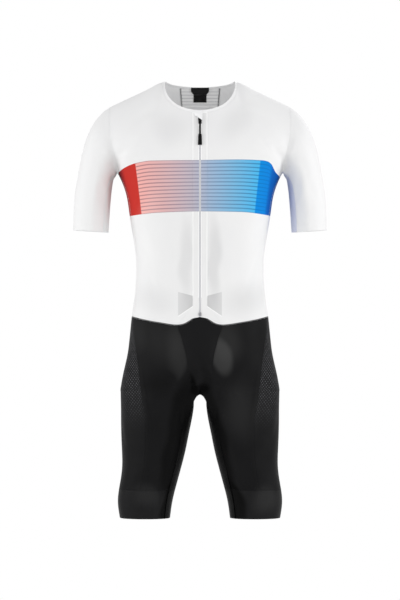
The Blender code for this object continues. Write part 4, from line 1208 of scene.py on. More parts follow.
def printed(tree, cloth):
    """The cloth's colour with the chest band printed on it."""
    place = node(tree, "SeparateXYZ", [node(tree, "UVMap", (), "print")])
    down = place.outputs["Y"]
    slant = node(tree, "Math", (down, BLOCK_SLANT, 1.0), "MULTIPLY_ADD")
    across = node(tree, "Math", (place.outputs["X"], slant), "MULTIPLY")
    across = node(tree, "MapRange", (across, BAND_X[0] * MM, BAND_X[-1] * MM))
    colour = node(tree, "ValToRGB", [across])
    stops_across(colour.color_ramp.elements, BAND_PRINT_AND_SIDE_SHADE, linear)
    strength = node(tree, "ValToRGB", [across])
    stops_across(strength.color_ramp.elements, STRIPE_STRENGTHS, lambda v: (v, v, v, 1))
    line = node(tree, "Math", (down, PINSTRIPES), "MULTIPLY")
    line = node(tree, "Math", [line], "FRACT")
    line = node(tree, "Math", (line, 0.5), "SUBTRACT")
    line = node(tree, "Math", [line], "ABSOLUTE")
    line = node(tree, "MapRange", (line, STRIPE_EDGE, STRIPE_CORE), "SMOOTHSTEP")
    line = node(tree, "Math", (line, strength), "MULTIPLY")
    dark = node(tree, "Mix", (1.0, colour, linear("#7D7F98")), "RGBA", blend_type="MULTIPLY")
    colour = node(tree, "Mix", (line, colour, dark), "RGBA")
    below = node(tree, "Math", (down, 0.0), "GREATER_THAN")
    above = node(tree, "Math", (down, 1.0), "LESS_THAN")
    inside = node(tree, "Math", (below, above), "MULTIPLY")
    return node(tree, "Mix", (inside, cloth, colour), "RGBA")


def wave_scale(pitch):
    """A Wave texture's scale for bands that are a pitch in millimetres apart."""
    return 2 * math.pi / (20 * pitch * MM)


def knit_bump(tree, shader, pitch=KNIT_PITCH, depth=KNIT_DEPTH, hand=HAND_DEPTH, seam=SEAM_DEPTH):
    """Knitted wales, the soft unevenness of cloth in the hand, and cloth drawn down along its seams."""
    flat = node(tree, "UVMap", (), "cut")
    wales = node(tree, "TexWave", {"Vector": flat, "Scale": wave_scale(pitch), "Distortion": 0.4})
    bump = node(tree, "Bump", {"Height": wales, "Distance": depth * MM})
    soft = node(tree, "TexNoise", {"Vector": flat, "Scale": 1 / (HAND_SIZE * MM), "Detail": 3.0})
    bump = node(tree, "Bump", {"Height": soft, "Distance": hand * MM, "Normal": bump})
    edge = node(tree, "Attribute", (), "from_edge").outputs["Fac"]
    rise = node(tree, "MapRange", (edge, 0.0, SEAM_SWELL * MM), "SMOOTHSTEP")
    bump = node(tree, "Bump", {"Height": rise, "Distance": seam * MM, "Normal": bump})
    feed(tree, shader.inputs["Normal"], bump)
    return bump


def clouded(tree, patch, first, second):
    """Cloth whose shade changes slowly, over patches of a size in millimetres."""
    flat = node(tree, "UVMap", (), "cut")
    cloud = node(tree, "TexNoise", {"Vector": flat, "Scale": 1 / (patch * MM), "Detail": 2.0})
    return node(tree, "Mix", (cloud, linear(first), linear(second)), "RGBA")


def pocket_shade(tree, place, cloth):
    """The cloth with a pale grey patch where an inner pocket shows through it, closed by a white piping."""
    x = node(tree, "Math", [place.outputs["X"]], "ABSOLUTE")
    z = place.outputs["Z"]
    front = node(tree, "Math", (place.outputs["Y"], 0.0), "LESS_THAN")
    beside = node(tree, "Math", (x, POCKET_HALF_WIDTH * MM), "LESS_THAN")
    shown = node(tree, "Math", (front, beside), "MULTIPLY")
    beside = node(tree, "Math", (x, BAND_HALF_WIDTH * MM), "GREATER_THAN")
    shown = node(tree, "Math", (shown, beside), "MULTIPLY")
    top = node(tree, "Math", (x, POCKET_TOP[1], -POCKET_TOP[0] * MM), "MULTIPLY_ADD")
    below = node(tree, "Math", (z, top), "LESS_THAN")
    foot = node(tree, "Math", (x, -POCKET_FOOT[1], -POCKET_FOOT[0] * MM), "MULTIPLY_ADD")
    above = node(tree, "Math", (z, foot), "GREATER_THAN")
    patch = node(tree, "Math", (below, above), "MULTIPLY")
    patch = node(tree, "Math", (patch, shown), "MULTIPLY")
    near, far, *strengths = POCKET_FADE
    fading = node(tree, "MapRange", (x, near * MM, far * MM, *strengths), "SMOOTHSTEP")
    patch = node(tree, "Math", (patch, fading), "MULTIPLY")
    cloth = node(tree, "Mix", (patch, cloth, linear("#BEBEBF")), "RGBA")
    piping = node(tree, "Math", (z, foot, POCKET_PIPING * MM), "COMPARE")
    piping = node(tree, "Math", (piping, shown), "MULTIPLY")
    return node(tree, "Mix", (piping, cloth, linear("#FFFFFF")), "RGBA")


def with_painted_light(tree, cloth, dark, light):
    """The cloth with its painted light and shade: painted shade multiplies its colour by dark, and a
    painted highlight covers it with light.
    """
    painted_tone = node(tree, "Attribute", (), "painted_tone").outputs["Fac"]
    down = node(tree, "MapRange", (painted_tone, 0.0, -1.0))
    up = node(tree, "MapRange", (painted_tone, 0.0, 1.0))
    cloth = node(tree, "Mix", (down, cloth, linear(dark)), "RGBA", blend_type="MULTIPLY")
    return node(tree, "Mix", (up, cloth, linear(light)), "RGBA")


def white_jersey(name, tint=None, band=True):
    """White jersey: matt and even, with soft patches of painted highlight and painted shade; a tint may
    fade in between two heights, from one strength to another.
    """
    material, tree, shader = finish(name, {"Roughness": 0.7, "Specular IOR Level": 0.12})
    place = node(tree, "SeparateXYZ", [node(tree, "TexCoord").outputs["Object"]])
    cloth = clouded(tree, 90, "#EEEEEE", "#E9E9EA")
    if tint:
        colour, *range_of = tint
        fading = node(tree, "MapRange", (place.outputs["Z"], *range_of), "SMOOTHSTEP")
        cloth = node(tree, "Mix", (fading, cloth, linear(colour)), "RGBA")
    if band:
        cloth = printed(tree, pocket_shade(tree, place, cloth))
    # Painted shade multiplies it down to pale grey, and painted highlights lift it to white
    feed(tree, shader.inputs["Base Color"], with_painted_light(tree, cloth, "#C4C4C5", "#FFFFFF"))
    knit_bump(tree, shader)
    return material


# The lining side is brushed into a fine fuzz, which scatters light and looks matt and bright
fuzz = {"Scale": 1 / (3 * MM)}
shades = ("#FDFDFD", "#F6F6F7")
sockets = {"Roughness": 0.85}
lining = textured("brushed_lining_white", sockets, shades, "TexNoise", fuzz, depth=0.1, on_cut=True)
printed_jersey = white_jersey("warp_knit_jersey_printed")
plain_jersey = white_jersey("warp_knit_jersey_white", band=False)

# Cut sizes in millimetres: width, length, and how much of that rectangle is cloth
cut_pair("front", (196, 548, 0.76), printed_jersey, "white_jersey", lining=lining)
cut_pair("back", (168, 552, 0.78), printed_jersey, "white_jersey", lining=lining)
cut_pair("sleeve", (238, 292, 0.71), plain_jersey, "white_jersey", lining=lining)


# ---- Side strips and underarm strips -----------------------------------------------------------------
# Strips of the same jersey run down each side and under each arm. They are dyed in the band's end colours
# where they pass it, and the colour fades into the white cloth along their length. The right underarm
# strip's pale cyan is no dye: it is painted to cancel the red light that the chest band throws on it, so
# that it reads pale grey.

SIDE_SIZE = (66, 322, 0.77)
UNDER_SIZE = (88, 142, 0.78)

for name, size, dye, tint in (
    ("side_left", SIDE_SIZE, "blue", ("#C3CCE6", -0.36, -0.3, 0.0, 0.5)),
    ("side_right", SIDE_SIZE, "pink", ("#EFDCDD", -0.34, -0.29, 0.0, 0.4)),
    ("sleeve_under_left", UNDER_SIZE, "lilac", ("#CDD1E4", -0.12, -0.22, 0.2, 0.9)),
    ("sleeve_under_right", UNDER_SIZE, "red_bounce_cancelling", ("#D8E9EA", -0.3, -0.16, 0.3, 1.0)),
):
    jersey = white_jersey("warp_knit_jersey_" + dye, tint, band=name.startswith("side_"))
    stretched(cut(name, jersey, "white_jersey", lining=lining), *size)


# ---- Ribbed back panel -------------------------------------------------------------------------------
# A narrow panel of open ribbed knit runs down the spine and lets heat out. Its ribs lie across, about
# 7 mm apart, and show inside the neck, where a dark overlock closes it to the backs.

RIB_PITCH = 7.3
RIB_GROOVE = 0.35
RIB_DEPTH = 0.35
LINING_RIB_DEPTH = 0.15


def ribbed(name, sockets, groove, ridge, depth, face=False):
    """White knit with soft ribs across it: the open grooves between them are painted darker, as painted
    shade.
    """
    material, tree, shader = finish(name, sockets)
    spot = node(tree, "TexCoord").outputs["Object"]
    rib = node(tree, "TexWave", {"Vector": spot, "Scale": wave_scale(RIB_PITCH)}, "Z")
    rib = node(tree, "MapRange", (rib, 0.0, RIB_GROOVE), "SMOOTHSTEP")
    cloth = node(tree, "Mix", (rib, linear(groove), linear(ridge)), "RGBA")
    bump = node(tree, "Bump", {"Height": rib, "Distance": depth * MM})
    if face:
        cloth = printed(tree, cloth)
        grain = node(tree, "TexNoise", {"Vector": spot, "Scale": 1 / (2.5 * MM), "Detail": 1.0})
        bump = node(tree, "Bump", {"Height": grain, "Distance": 0.06 * MM, "Normal": bump})
    feed(tree, shader.inputs["Base Color"], cloth)
    feed(tree, shader.inputs["Normal"], bump)
    return material


sockets = {"Roughness": 0.8, "Sheen Weight": 0.1}
open_knit = ribbed("ribbed_mesh_knit_white", sockets, "#BBBBBD", "#E9E9E9", RIB_DEPTH, face=True)
sockets = {"Roughness": 0.85}
inner_knit = ribbed("ribbed_mesh_knit_lining", sockets, "#E0E0E2", "#FFFFFF", LINING_RIB_DEPTH)
back_centre = cut("back_centre", open_knit, "ribbed_jersey", lining=inner_knit)


# ---- Neck binding ------------------------------------------------------------------------------------
# A soft elastic tape is folded over the neck edge and stitched down, so it is thicker than the cloth and
# a little brighter. It is open at the front, where the zip ends.

BINDING_THICKNESS = 1.8
BINDING_PICKS = 1.4

sockets = {"Roughness": 0.5, "Sheen Weight": 0.2}
picks = {"Scale": wave_scale(BINDING_PICKS), "Distortion": 0.3}
shades = ("#EEEEEF", "#FCFCFC")
tape = textured("folded_elastic_white", sockets, shades, "TexWave", picks, depth=0.12, on_cut=True)
binding = cut("neck_binding", tape, "binding", BINDING_THICKNESS)

# The binding is too narrow to be a sheet of its own, so it is passed along with the panel it closes
stretched(back_centre, 80, 510, 0.76, [binding])


# ---- Zip bands ---------------------------------------------------------------------------------------
# Smooth heat-bonded tape covers the edge of each front beside the zip. It is brighter and glossier than
# the jersey, runs straight down, and flares out along the waist seam.

EDGE_HIGHLIGHT_REACH = (1.9, 1.2)

material, tree, shader = finish("bonded_film_tape_white", {"Roughness": 0.5, "Specular IOR Level": 0.2})
film = clouded(tree, 30, "#EDEDED", "#E9E9E9")
place = node(tree, "SeparateXYZ", [node(tree, "TexCoord").outputs["Object"]])
# The tape is painted white along its edges above the pocket patch, a painted highlight that also hides the
# seams' shadow
edge = node(tree, "Attribute", (), "from_edge").outputs["Fac"]
rim = node(tree, "MapRange", (edge, *(reach * MM for reach in EDGE_HIGHLIGHT_REACH)), "SMOOTHSTEP")
straight = node(tree, "Math", (place.outputs["Z"], -POCKET_TOP[0] * MM), "GREATER_THAN")
rim = node(tree, "Math", (rim, straight), "MULTIPLY")
film = node(tree, "Mix", (rim, film, linear("#FFFFFF")), "RGBA")
film = pocket_shade(tree, place, film)
feed(tree, shader.inputs["Base Color"], printed(tree, film))
knit_bump(tree, shader, depth=0.02, hand=0.2, seam=0.1)
cut_pair("zip_tape", (42, 470, 0.35), material, "zip_band", lining=lining)


# ---- Zip coil ----------------------------------------------------------------------------------------
# The zip is a reversed nylon coil, so only its two woven edges show, standing as welts with the small teeth
# down between them. The weave is white, and the narrow valley is painted grey: the grey of the teeth in it,
# darkened by painted shade in the recess.

COIL_THICKNESS = 1.6
WEAVE_PITCH = 1.6
TOOTH_PITCH = 1.3
TOOTH_SIZE = (1.2, 0.5, 0.5)
TOOTH_TOP_DROP = 100.0
TOOTH_FOOT_DROP = 524.0
TOOTH_LEAN = 0.35
TOOTH_RISE = 0.1
TOOTH_OFFSET = 0.2
BAR_SHOULDER = 0.34
VALLEY_SHADE = (0.9, 0.3)

material, tree, shader = finish("woven_zip_tape_white", {"Roughness": 0.6, "Sheen Weight": 0.1})
spot = node(tree, "TexCoord").outputs["Object"]
x = node(tree, "Math", [node(tree, "SeparateXYZ", [spot])], "ABSOLUTE")
weave = node(tree, "TexWave", {"Vector": spot, "Scale": wave_scale(WEAVE_PITCH)}, "Z")
woven_white = node(tree, "Mix", (weave, linear("#DADBDF"), linear("#F3F3F6")), "RGBA")
valley = node(tree, "MapRange", (x, *(reach * MM for reach in VALLEY_SHADE)), "SMOOTHSTEP")
shade = node(tree, "Mix", (valley, woven_white, linear("#7B7D84")), "RGBA")
feed(tree, shader.inputs["Base Color"], shade)
feed(tree, shader.inputs["Normal"], node(tree, "Bump", {"Height": weave, "Distance": 0.1 * MM}))
cut("zip_coil", material, "zip_coil", COIL_THICKNESS)

# A tooth is a short bar with pointed ends, shaped once and laid many times over
BAR_TURNS = np.radians((45, 135, 225, 315))
BAR_RING = [(math.cos(turn) / 2, math.sin(turn) / 2) for turn in BAR_TURNS]
BAR_POINTS = [(end, *spot) for end in (-BAR_SHOULDER, BAR_SHOULDER) for spot in BAR_RING]
BAR_POINTS = np.array([(-0.5, 0, 0), *BAR_POINTS, (0.5, 0, 0)])
BAR_FACES = [(0, 2, 1), (0, 3, 2), (0, 4, 3), (0, 1, 4)]
BAR_FACES += [(1, 2, 6), (1, 6, 5), (2, 3, 7), (2, 7, 6), (3, 4, 8), (3, 8, 7), (4, 1, 5), (4, 5, 8)]
BAR_FACES += [(9, 5, 6), (9, 6, 7), (9, 7, 8), (9, 8, 5)]


def bars(name, centres, along, across, up, size):
    """One mesh of many small bars, each at its centre with its own three directions."""
    frames = np.stack([along, across, up], axis=1) * (np.array(size) * MM)[None, :, None]
    verts = np.einsum("ki,nij->nkj", BAR_POINTS, frames) + centres[:, None]
    faces = np.array(BAR_FACES)[None] + np.arange(len(centres))[:, None, None] * len(BAR_POINTS)
    mesh = bpy.data.meshes.new(name)
    mesh.from_pydata(verts.reshape(-1, 3), [], faces.reshape(-1, 3))
    mesh.shade_smooth()
    return mesh


def sampled(at, keys, values):
    """Rows of values at places between the keys that the rows belong to."""
    return np.stack([np.interp(at, keys, values[:, k]) for k in range(3)], axis=1)


chosen = np.unique(quads[panel_at == pattern.panels.index("zip_coil")])
valley = chosen[np.abs(points[chosen, 0]) < VALLEY_WIDTH * MM / 4]
valley = valley[np.argsort(-points[valley, 2])]
drops = np.arange(TOOTH_TOP_DROP, TOOTH_FOOT_DROP, TOOTH_PITCH / 2)
keys = -points[valley, 2] / MM
centres, normals = (sampled(drops, keys, values[valley]) for values in (points, outward))
normals = unit(normals * (0, 1, 1))
lean = np.where(np.arange(len(drops)) % 2, 1.0, -1.0)[:, None]
down = np.cross(normals, (1.0, 0, 0))
along = unit(np.array([[1.0, 0, 0]]) + lean * TOOTH_LEAN * down)
centres += normals * (TOOTH_RISE * MM) + lean * (TOOTH_OFFSET * MM, 0, 0)
shades = ("#85878E", "#A3A5AB")
nylon = textured("nylon_coil_grey", {"Roughness": 0.35}, shades, "TexNoise", {"Scale": 400.0})
teeth = bars("zip_teeth", centres, along, np.cross(normals, along), normals, TOOTH_SIZE)
add_piece("zip_teeth", teeth, nylon, "zip_coil")


# ---- Zip garage --------------------------------------------------------------------------------------
# A small folded flap of the white cloth covers the top end of the zip, so the slider doesn't rub the
# throat. Its foot slants down to the left and stands a little proud over the slider.

LIE_GAP = 0.25
FLAP_THICKNESS = 0.7
GARAGE = table("side top_x top_drop foot_x foot_drop", (0, -17, 68, -12, 79.5), (1, 6, 68, 5, 92))
GARAGE_ROWS = 24
GARAGE_COLUMNS = 20
GARAGE_RISE = 2.7
GARAGE_RISE_DOWN = 0.6
GARAGE_RISE_ACROSS = 0.42


def frame_on(place, x, drop):
    """A point of the cloth with its outward direction."""
    step = 0.5
    down = (place(x, drop + step) - place(x, drop - step)).normalized()
    across = (place(x + step, drop) - place(x - step, drop)).normalized()
    return place(x, drop), down.cross(across).normalized()


def lying(name, grid, wall):
    """The closed shell of something that lies on the cloth, from a grid of points of its face."""
    rows, columns = grid.shape[:2]
    index = np.arange(rows * columns).reshape(rows, columns)
    ring = [index[:-1, :-1], index[1:, :-1], index[1:, 1:], index[:-1, 1:]]
    faces = np.stack([part.ravel() for part in ring], axis=1)
    across = np.linalg.norm(np.diff(grid, axis=1), axis=2).mean(0)
    down = np.linalg.norm(np.diff(grid, axis=0), axis=2).mean(1)
    u, v = np.meshgrid(np.concatenate([[0], across.cumsum()]), -np.concatenate([[0], down.cumsum()]))
    flat = np.stack([u, v], axis=2).reshape(-1, 2)[faces]
    place = grid.reshape(-1, 3)
    return cloth_mesh(name, place, outward_at(place, faces), faces, flat, wall)


grid = []
for down in evenly(0, 1, GARAGE_ROWS):
    row = []
    for across in evenly(0, 1, GARAGE_COLUMNS):
        edge = {name: mix(*GARAGE[name], across) for name in GARAGE}
        x = mix(edge["top_x"], edge["foot_x"], down)
        drop = mix(edge["top_drop"], edge["foot_drop"], down)
        point, out = frame_on(front_at, x, drop)
        rise = GARAGE_RISE * (1 - fade(down, GARAGE_RISE_DOWN)) * (1 - fade(across, GARAGE_RISE_ACROSS))
        row.append(point + out * ((rise + LIE_GAP + FLAP_THICKNESS) * MM))
    grid.append(row)
garage = lying("zip_garage_flap", np.array(grid), FLAP_THICKNESS)
material, tree, shader = finish("folded_jersey_white", {"Roughness": 0.6, "Sheen Weight": 0.15})
feed(tree, shader.inputs["Base Color"], clouded(tree, 12, "#F8F8F9", "#F0F0F1"))
knit_bump(tree, shader, hand=0.1, seam=0.2)
garage = add_piece("zip_garage_flap", garage, material, "white_jersey", "zip_garage")


# ---- Hanger loop and neck label ----------------------------------------------------------------------
# A black woven loop is sewn flat inside the back of the neck, with a bare black satin label hanging from
# it. Both lie against the ribbed panel.

LOOP = table("drop half_width", (11, 20.8), (20, 20.8), (27, 14.8))
LABEL = table("drop half_width", (27.4, 15.0), (44.4, 15.0))
TRIM_THICKNESS = 0.9
TRIM_LIFT = 3.0
TRIM_ROWS = 16
TRIM_COLUMNS = 24


def inside_trim(name, rows_of):
    """Something flat that lies against the inside of the back panel."""
    grid = []
    for drop in evenly(rows_of["drop"][0], rows_of["drop"][-1], TRIM_ROWS):
        half = float(np.interp(drop, rows_of["drop"], rows_of["half_width"]))
        row = []
        for x in evenly(-half, half, TRIM_COLUMNS):
            point, out = frame_on(back_at, x, drop)
            out = out if out.y > 0 else -out
            row.append(point - out * (TRIM_LIFT * MM))
        grid.append(row)
    return lying(name, np.array(grid), TRIM_THICKNESS)


def woven_black(name, pitch, dark, light, roughness):
    """Black woven tape: fine even picks, with the floating weft painted lighter as a painted satin sheen.
    """
    sockets = {"Roughness": roughness, "Specular IOR Level": 0.15}
    picks = {"Scale": wave_scale(pitch)}
    return textured(name, sockets, (dark, light), "TexWave", picks, "DIAGONAL", depth=0.15, on_cut=True)


loop_tape = woven_black("woven_polyester_loop_black", 1.6, "#0C0C0D", "#1E1E20", 0.5)
label_satin = woven_black("satin_label_black", 0.9, "#060607", "#0E0E0F", 0.4)
for name, rows_of, material, node_name, size in (
    ("hanger_loop_tape", LOOP, loop_tape, "hanger_loop", (0.042, 0.0176)),
    ("neck_label_satin", LABEL, label_satin, "neck_label", (0.0305, 0.0194)),
):
    piece = add_piece(name, inside_trim(name, rows_of), material, "loop_and_label", node_name)


# ---- Black jersey: leg fronts and seats --------------------------------------------------------------
# The shorts are of a heavier nylon and elastane jersey, dyed black. It is close and satin; over the front
# of the hips it is painted a shade greyer as a painted highlight, and painted shade darkens it on the inner
# thighs and in the crotch.

# Colours of the painted shade, which multiplies the cloth, and of the painted highlights that cover it
PAINTED_SHADE_BLACK = "#404040"
PAINTED_HIGHLIGHT_GREY = "#4A4A4A"


def black_jersey(name, dark, light, sockets, pitch=1.8, depth=0.06, painted_highlight_grey=PAINTED_HIGHLIGHT_GREY):
    """Black jersey: fine wales, a slow change of shade, and soft patches of painted highlight and painted
    shade.
    """
    material, tree, shader = finish(name, sockets)
    flat = node(tree, "UVMap", (), "cut")
    cloud = node(tree, "TexNoise", {"Vector": flat, "Scale": 1 / (60 * MM), "Detail": 3.0})
    wales = node(tree, "TexWave", {"Vector": flat, "Scale": wave_scale(pitch), "Distortion": 0.5})
    shade = node(tree, "Math", (cloud, 0.7), "MULTIPLY")
    shade = node(tree, "Math", (wales, 0.3, shade), "MULTIPLY_ADD")
    cloth = node(tree, "Mix", (shade, linear(dark), linear(light)), "RGBA")
    feed(tree, shader.inputs["Base Color"], with_painted_light(tree, cloth, PAINTED_SHADE_BLACK, painted_highlight_grey))
    knit_bump(tree, shader, pitch, depth, 0.5, 0.4)
    return material


sockets = {"Roughness": 0.5, "Specular IOR Level": 0.05}
satin = black_jersey("nylon_jersey_black", "#121213", "#1B1B1C", sockets)
cut_pair("leg_front", (200, 390, 0.625), satin, "black_jersey")
cut_pair("seat", (240, 400, 0.667), satin, "black_jersey")


# ---- Front centre panel ------------------------------------------------------------------------------
# A shaped panel of matt brushed jersey runs from the zip's end to the crotch. It takes hardly any gleam,
# so it reads darker than the cloth beside it.

matt = {"Roughness": 0.8, "Specular IOR Level": 0.06}
# Its painted highlight grey is hardly lighter than the cloth, so little painted highlight shows on it
brushed = black_jersey("brushed_jersey_black", "#161617", "#1C1C1D", matt, 1.5, 0.04, "#202021")
stretched(cut("shorts_front_centre", brushed, "black_jersey"), 92, 172, 0.56)


# ---- Dimpled side panels -----------------------------------------------------------------------------
# The outer thighs are of a jacquard knit with staggered dimples, for air flow at speed. The dimples are
# about 6 mm apart, show the paler inner yarn, and fade out above the knee.

DIMPLE_PITCH = 8.0
DIMPLE_DEPTH = 0.5
DIMPLE_START = -0.655
DIMPLE_END = -0.81
DIMPLE_PATCH = 11.0

material, tree, shader = finish("dimpled_jacquard_black", {"Roughness": 0.5, "Specular IOR Level": 0.06})
flat = node(tree, "SeparateXYZ", [node(tree, "UVMap", (), "cut")])
waves = []
for axis in ("X", "Y"):
    turn = node(tree, "Math", (flat.outputs[axis], 2 * math.pi / (DIMPLE_PITCH * MM)), "MULTIPLY")
    waves.append(node(tree, "Math", [turn], "COSINE"))
dimple = node(tree, "Math", waves, "MULTIPLY")
dimple = node(tree, "MapRange", (dimple, 0.1, 0.7), "SMOOTHSTEP")
place = node(tree, "SeparateXYZ", [node(tree, "TexCoord").outputs["Object"]])
height = place.outputs["Z"]
strength = node(tree, "MapRange", (height, DIMPLE_END, DIMPLE_START), "SMOOTHSTEP")
dimple = node(tree, "Math", (dimple, strength), "MULTIPLY")
flat = node(tree, "UVMap", (), "cut")
uneven = node(tree, "TexNoise", {"Vector": flat, "Scale": 1 / (DIMPLE_PATCH * MM), "Detail": 2.0})
uneven = node(tree, "MapRange", (uneven, 0.35, 0.6, 0.35, 1.1))
dimple = node(tree, "Math", (dimple, uneven), "MULTIPLY")
ground = clouded(tree, 50, "#121213", "#1C1C1D")
cloth = node(tree, "Mix", (dimple, ground, linear("#555558")), "RGBA")
# Painted highlights and painted shade, as on the satin jersey
feed(tree, shader.inputs["Base Color"], with_painted_light(tree, cloth, PAINTED_SHADE_BLACK, PAINTED_HIGHLIGHT_GREY))
knitted = knit_bump(tree, shader, 1.8, 0.05, 0.5, 0.4)
pits = node(tree, "Bump", {"Height": dimple, "Distance": -DIMPLE_DEPTH * MM, "Normal": knitted})
feed(tree, shader.inputs["Normal"], pits)
cut_pair("leg_side", (176, 392, 0.775), material, "black_mesh")


# ---- Gripper bands -----------------------------------------------------------------------------------
# A wide band of doubled power elastic ends each leg and holds it on the thigh. Its outside is smooth and
# faintly glossy, with fine ribs round the leg.

GRIPPER_THICKNESS = 1.5
GRIPPER_RIB = 2.6
GRIPPER_RIB_DEPTH = 0.08

material, tree, shader = finish("power_elastic_black", {"Roughness": 0.45, "Specular IOR Level": 0.07})
flat = node(tree, "UVMap", (), "cut")
ribs = node(tree, "TexWave", {"Vector": flat, "Scale": wave_scale(GRIPPER_RIB)}, "Y")
cloud = node(tree, "TexNoise", {"Vector": flat, "Scale": 1 / (45 * MM), "Detail": 2.0})
shade = node(tree, "Math", (cloud, 0.75), "MULTIPLY")
shade = node(tree, "Math", (ribs, 0.25, shade), "MULTIPLY_ADD")
cloth = node(tree, "Mix", (shade, linear("#161617"), linear("#202021")), "RGBA")
# Painted highlights and painted shade, with the inner parts of the bands darkest
feed(tree, shader.inputs["Base Color"], with_painted_light(tree, cloth, PAINTED_SHADE_BLACK, PAINTED_HIGHLIGHT_GREY))
knitted = knit_bump(tree, shader, 1.6, 0.03, 0.5, 0.5)
ribs = node(tree, "Bump", {"Height": ribs, "Distance": GRIPPER_RIB_DEPTH * MM, "Normal": knitted})
feed(tree, shader.inputs["Normal"], ribs)
cut_pair("leg_band", (382, 66, 0.94), material, "gripper_band", GRIPPER_THICKNESS)


# ---- Stitching ---------------------------------------------------------------------------------------
# The panels are held edge to edge by flat seams: a row of short thread stitches lies on each side of the
# join. Thread is white in the upper and black in the shorts, and dark inside the neck.

STITCH_PITCH = 3.2
STITCH_SIZE = (2.3, 0.5, 0.36)
STITCH_AWAY = 1.7
STITCH_PROUD = 0.05
OVERLOCK_PITCH = 1.7
OVERLOCK_SIZE = (4.6, 0.75, 0.6)
OVERLOCK_LEAN = 0.3
LEAST_SEAM = 20.0

BLACK_PANELS = ("leg_", "seat_", "shorts_")


def seam_edges():
    """The edges where two panels meet, keyed by the pair of panels, each as directed pairs of points."""
    first = quads.ravel()
    second = np.roll(quads, -1, axis=1).ravel()
    owner = np.repeat(panel_at, 4)
    count = len(points)
    code, back = first * count + second, second * count + first
    order = np.argsort(code)
    found = np.clip(np.searchsorted(code, back, sorter=order), 0, len(code) - 1)
    twin = order[found]
    meets = (code[twin] == back) & (owner[twin] > owner)
    seams = {}
    for a, b, one, two in zip(first[meets], second[meets], owner[meets], owner[twin][meets]):
        seams.setdefault((pattern.panels[one], pattern.panels[two]), {})[int(a)] = int(b)
    return seams


def chains(steps):
    """The runs of points that directed steps make when they are followed from their starts."""
    left = dict(steps)
    while left:
        heads = set(left) - set(left.values())
        at = min(heads or left)
        run = [at]
        while at in left:
            at = left.pop(at)
            run.append(at)
        yield run


def along_run(run, pitch):
    """Evenly spaced places along a run, with their directions along it, outwards and across it."""
    line, out = points[run], outward[run]
    steps = np.linalg.norm(np.diff(line, axis=0), axis=1)
    reach = np.concatenate([[0], steps.cumsum()])
    if reach[-1] < LEAST_SEAM * MM:
        return None
    spots = np.linspace(0, reach[-1], max(int(reach[-1] / (pitch * MM)), 2) + 1)
    spots = (spots[1:] + spots[:-1]) / 2
    place, normal = sampled(spots, reach, line), unit(sampled(spots, reach, out))
    along = unit(np.gradient(place, axis=0))
    across = unit(np.cross(normal, along))
    return place, np.cross(across, normal), across, normal


def runs_between(pairs, pitch):
    """What along_run says of each run of the seams between pairs of panels, but for the shortest."""
    found = [along_run(run, pitch) for pair in seams if pair in pairs for run in chains(seams[pair])]
    return [run for run in found if run]


def stitched(name, parts, size, material, slot):
    """Adds many stitches as one piece."""
    parts = [np.concatenate(part) for part in zip(*parts)]
    add_piece(name, bars(name, *parts, size), material, slot)


def stitch_rows(pairs, name, material, slot):
    """Two rows of stitches along the seams between pairs of panels."""
    parts = []
    for place, along, across, normal in runs_between(pairs, STITCH_PITCH):
        for side in (-STITCH_AWAY, STITCH_AWAY):
            centre = place + across * (side * MM) + normal * (STITCH_PROUD * MM)
            parts.append((centre, along, across, normal))
    stitched(name, parts, STITCH_SIZE, material, slot)


def thread(name, dark, light, roughness):
    """Twisted polyester thread: a slight gleam, with the twist as a fine change of shade."""
    sockets = {"Roughness": roughness, "Specular IOR Level": 0.12}
    return textured(name, sockets, (dark, light), "TexNoise", {"Scale": 1 / (1.2 * MM), "Detail": 1.0})


def is_black(name):
    return name.startswith(BLACK_PANELS)


seams = seam_edges()
sewn = [pair for pair in seams if not any(name.startswith("zip_") for name in pair)]
black = [pair for pair in sewn if all(is_black(name) for name in pair)]
white = [pair for pair in sewn if not any(is_black(name) for name in pair)]
waist = [pair for pair in seams if any(map(is_black, pair)) and not all(map(is_black, pair))]
white_thread = thread("polyester_thread_white", "#E2E2E4", "#F7F7F8", 0.5)
black_thread = thread("polyester_thread_black", "#121213", "#1E1E20", 0.5)
stitch_rows(white, "stitches_upper", white_thread, "white_jersey")
stitch_rows(black, "stitches_shorts", black_thread, "black_jersey")
stitch_rows(waist, "stitches_waist", white_thread, "white_jersey")

# Inside, a dark overlock wraps the two long edges of the ribbed panel
long_edges = [pair for pair in seams if "back_centre" in pair and {"back_left", "back_right"} & set(pair)]
parts = []
for place, along, across, normal in runs_between(long_edges, OVERLOCK_PITCH):
    lean = unit(across + along * OVERLOCK_LEAN)
    inside = place - normal * ((CLOTH_THICKNESS + OVERLOCK_SIZE[2] / 2) * MM)
    parts.append((inside, lean, np.cross(normal, lean), normal))
dark_thread = thread("polyester_thread_charcoal", "#3C3C3F", "#5B5B5F", 0.6)
stitched("overlock_inside", parts, OVERLOCK_SIZE, dark_thread, "ribbed_jersey")


# ---- Zip slider --------------------------------------------------------------------------------------
# A die-cast zinc slider, lacquered black, with two lugs and the pin that the pull hangs on. It is waisted
# like every coil slider, and sits on the closed zip just under the garage.

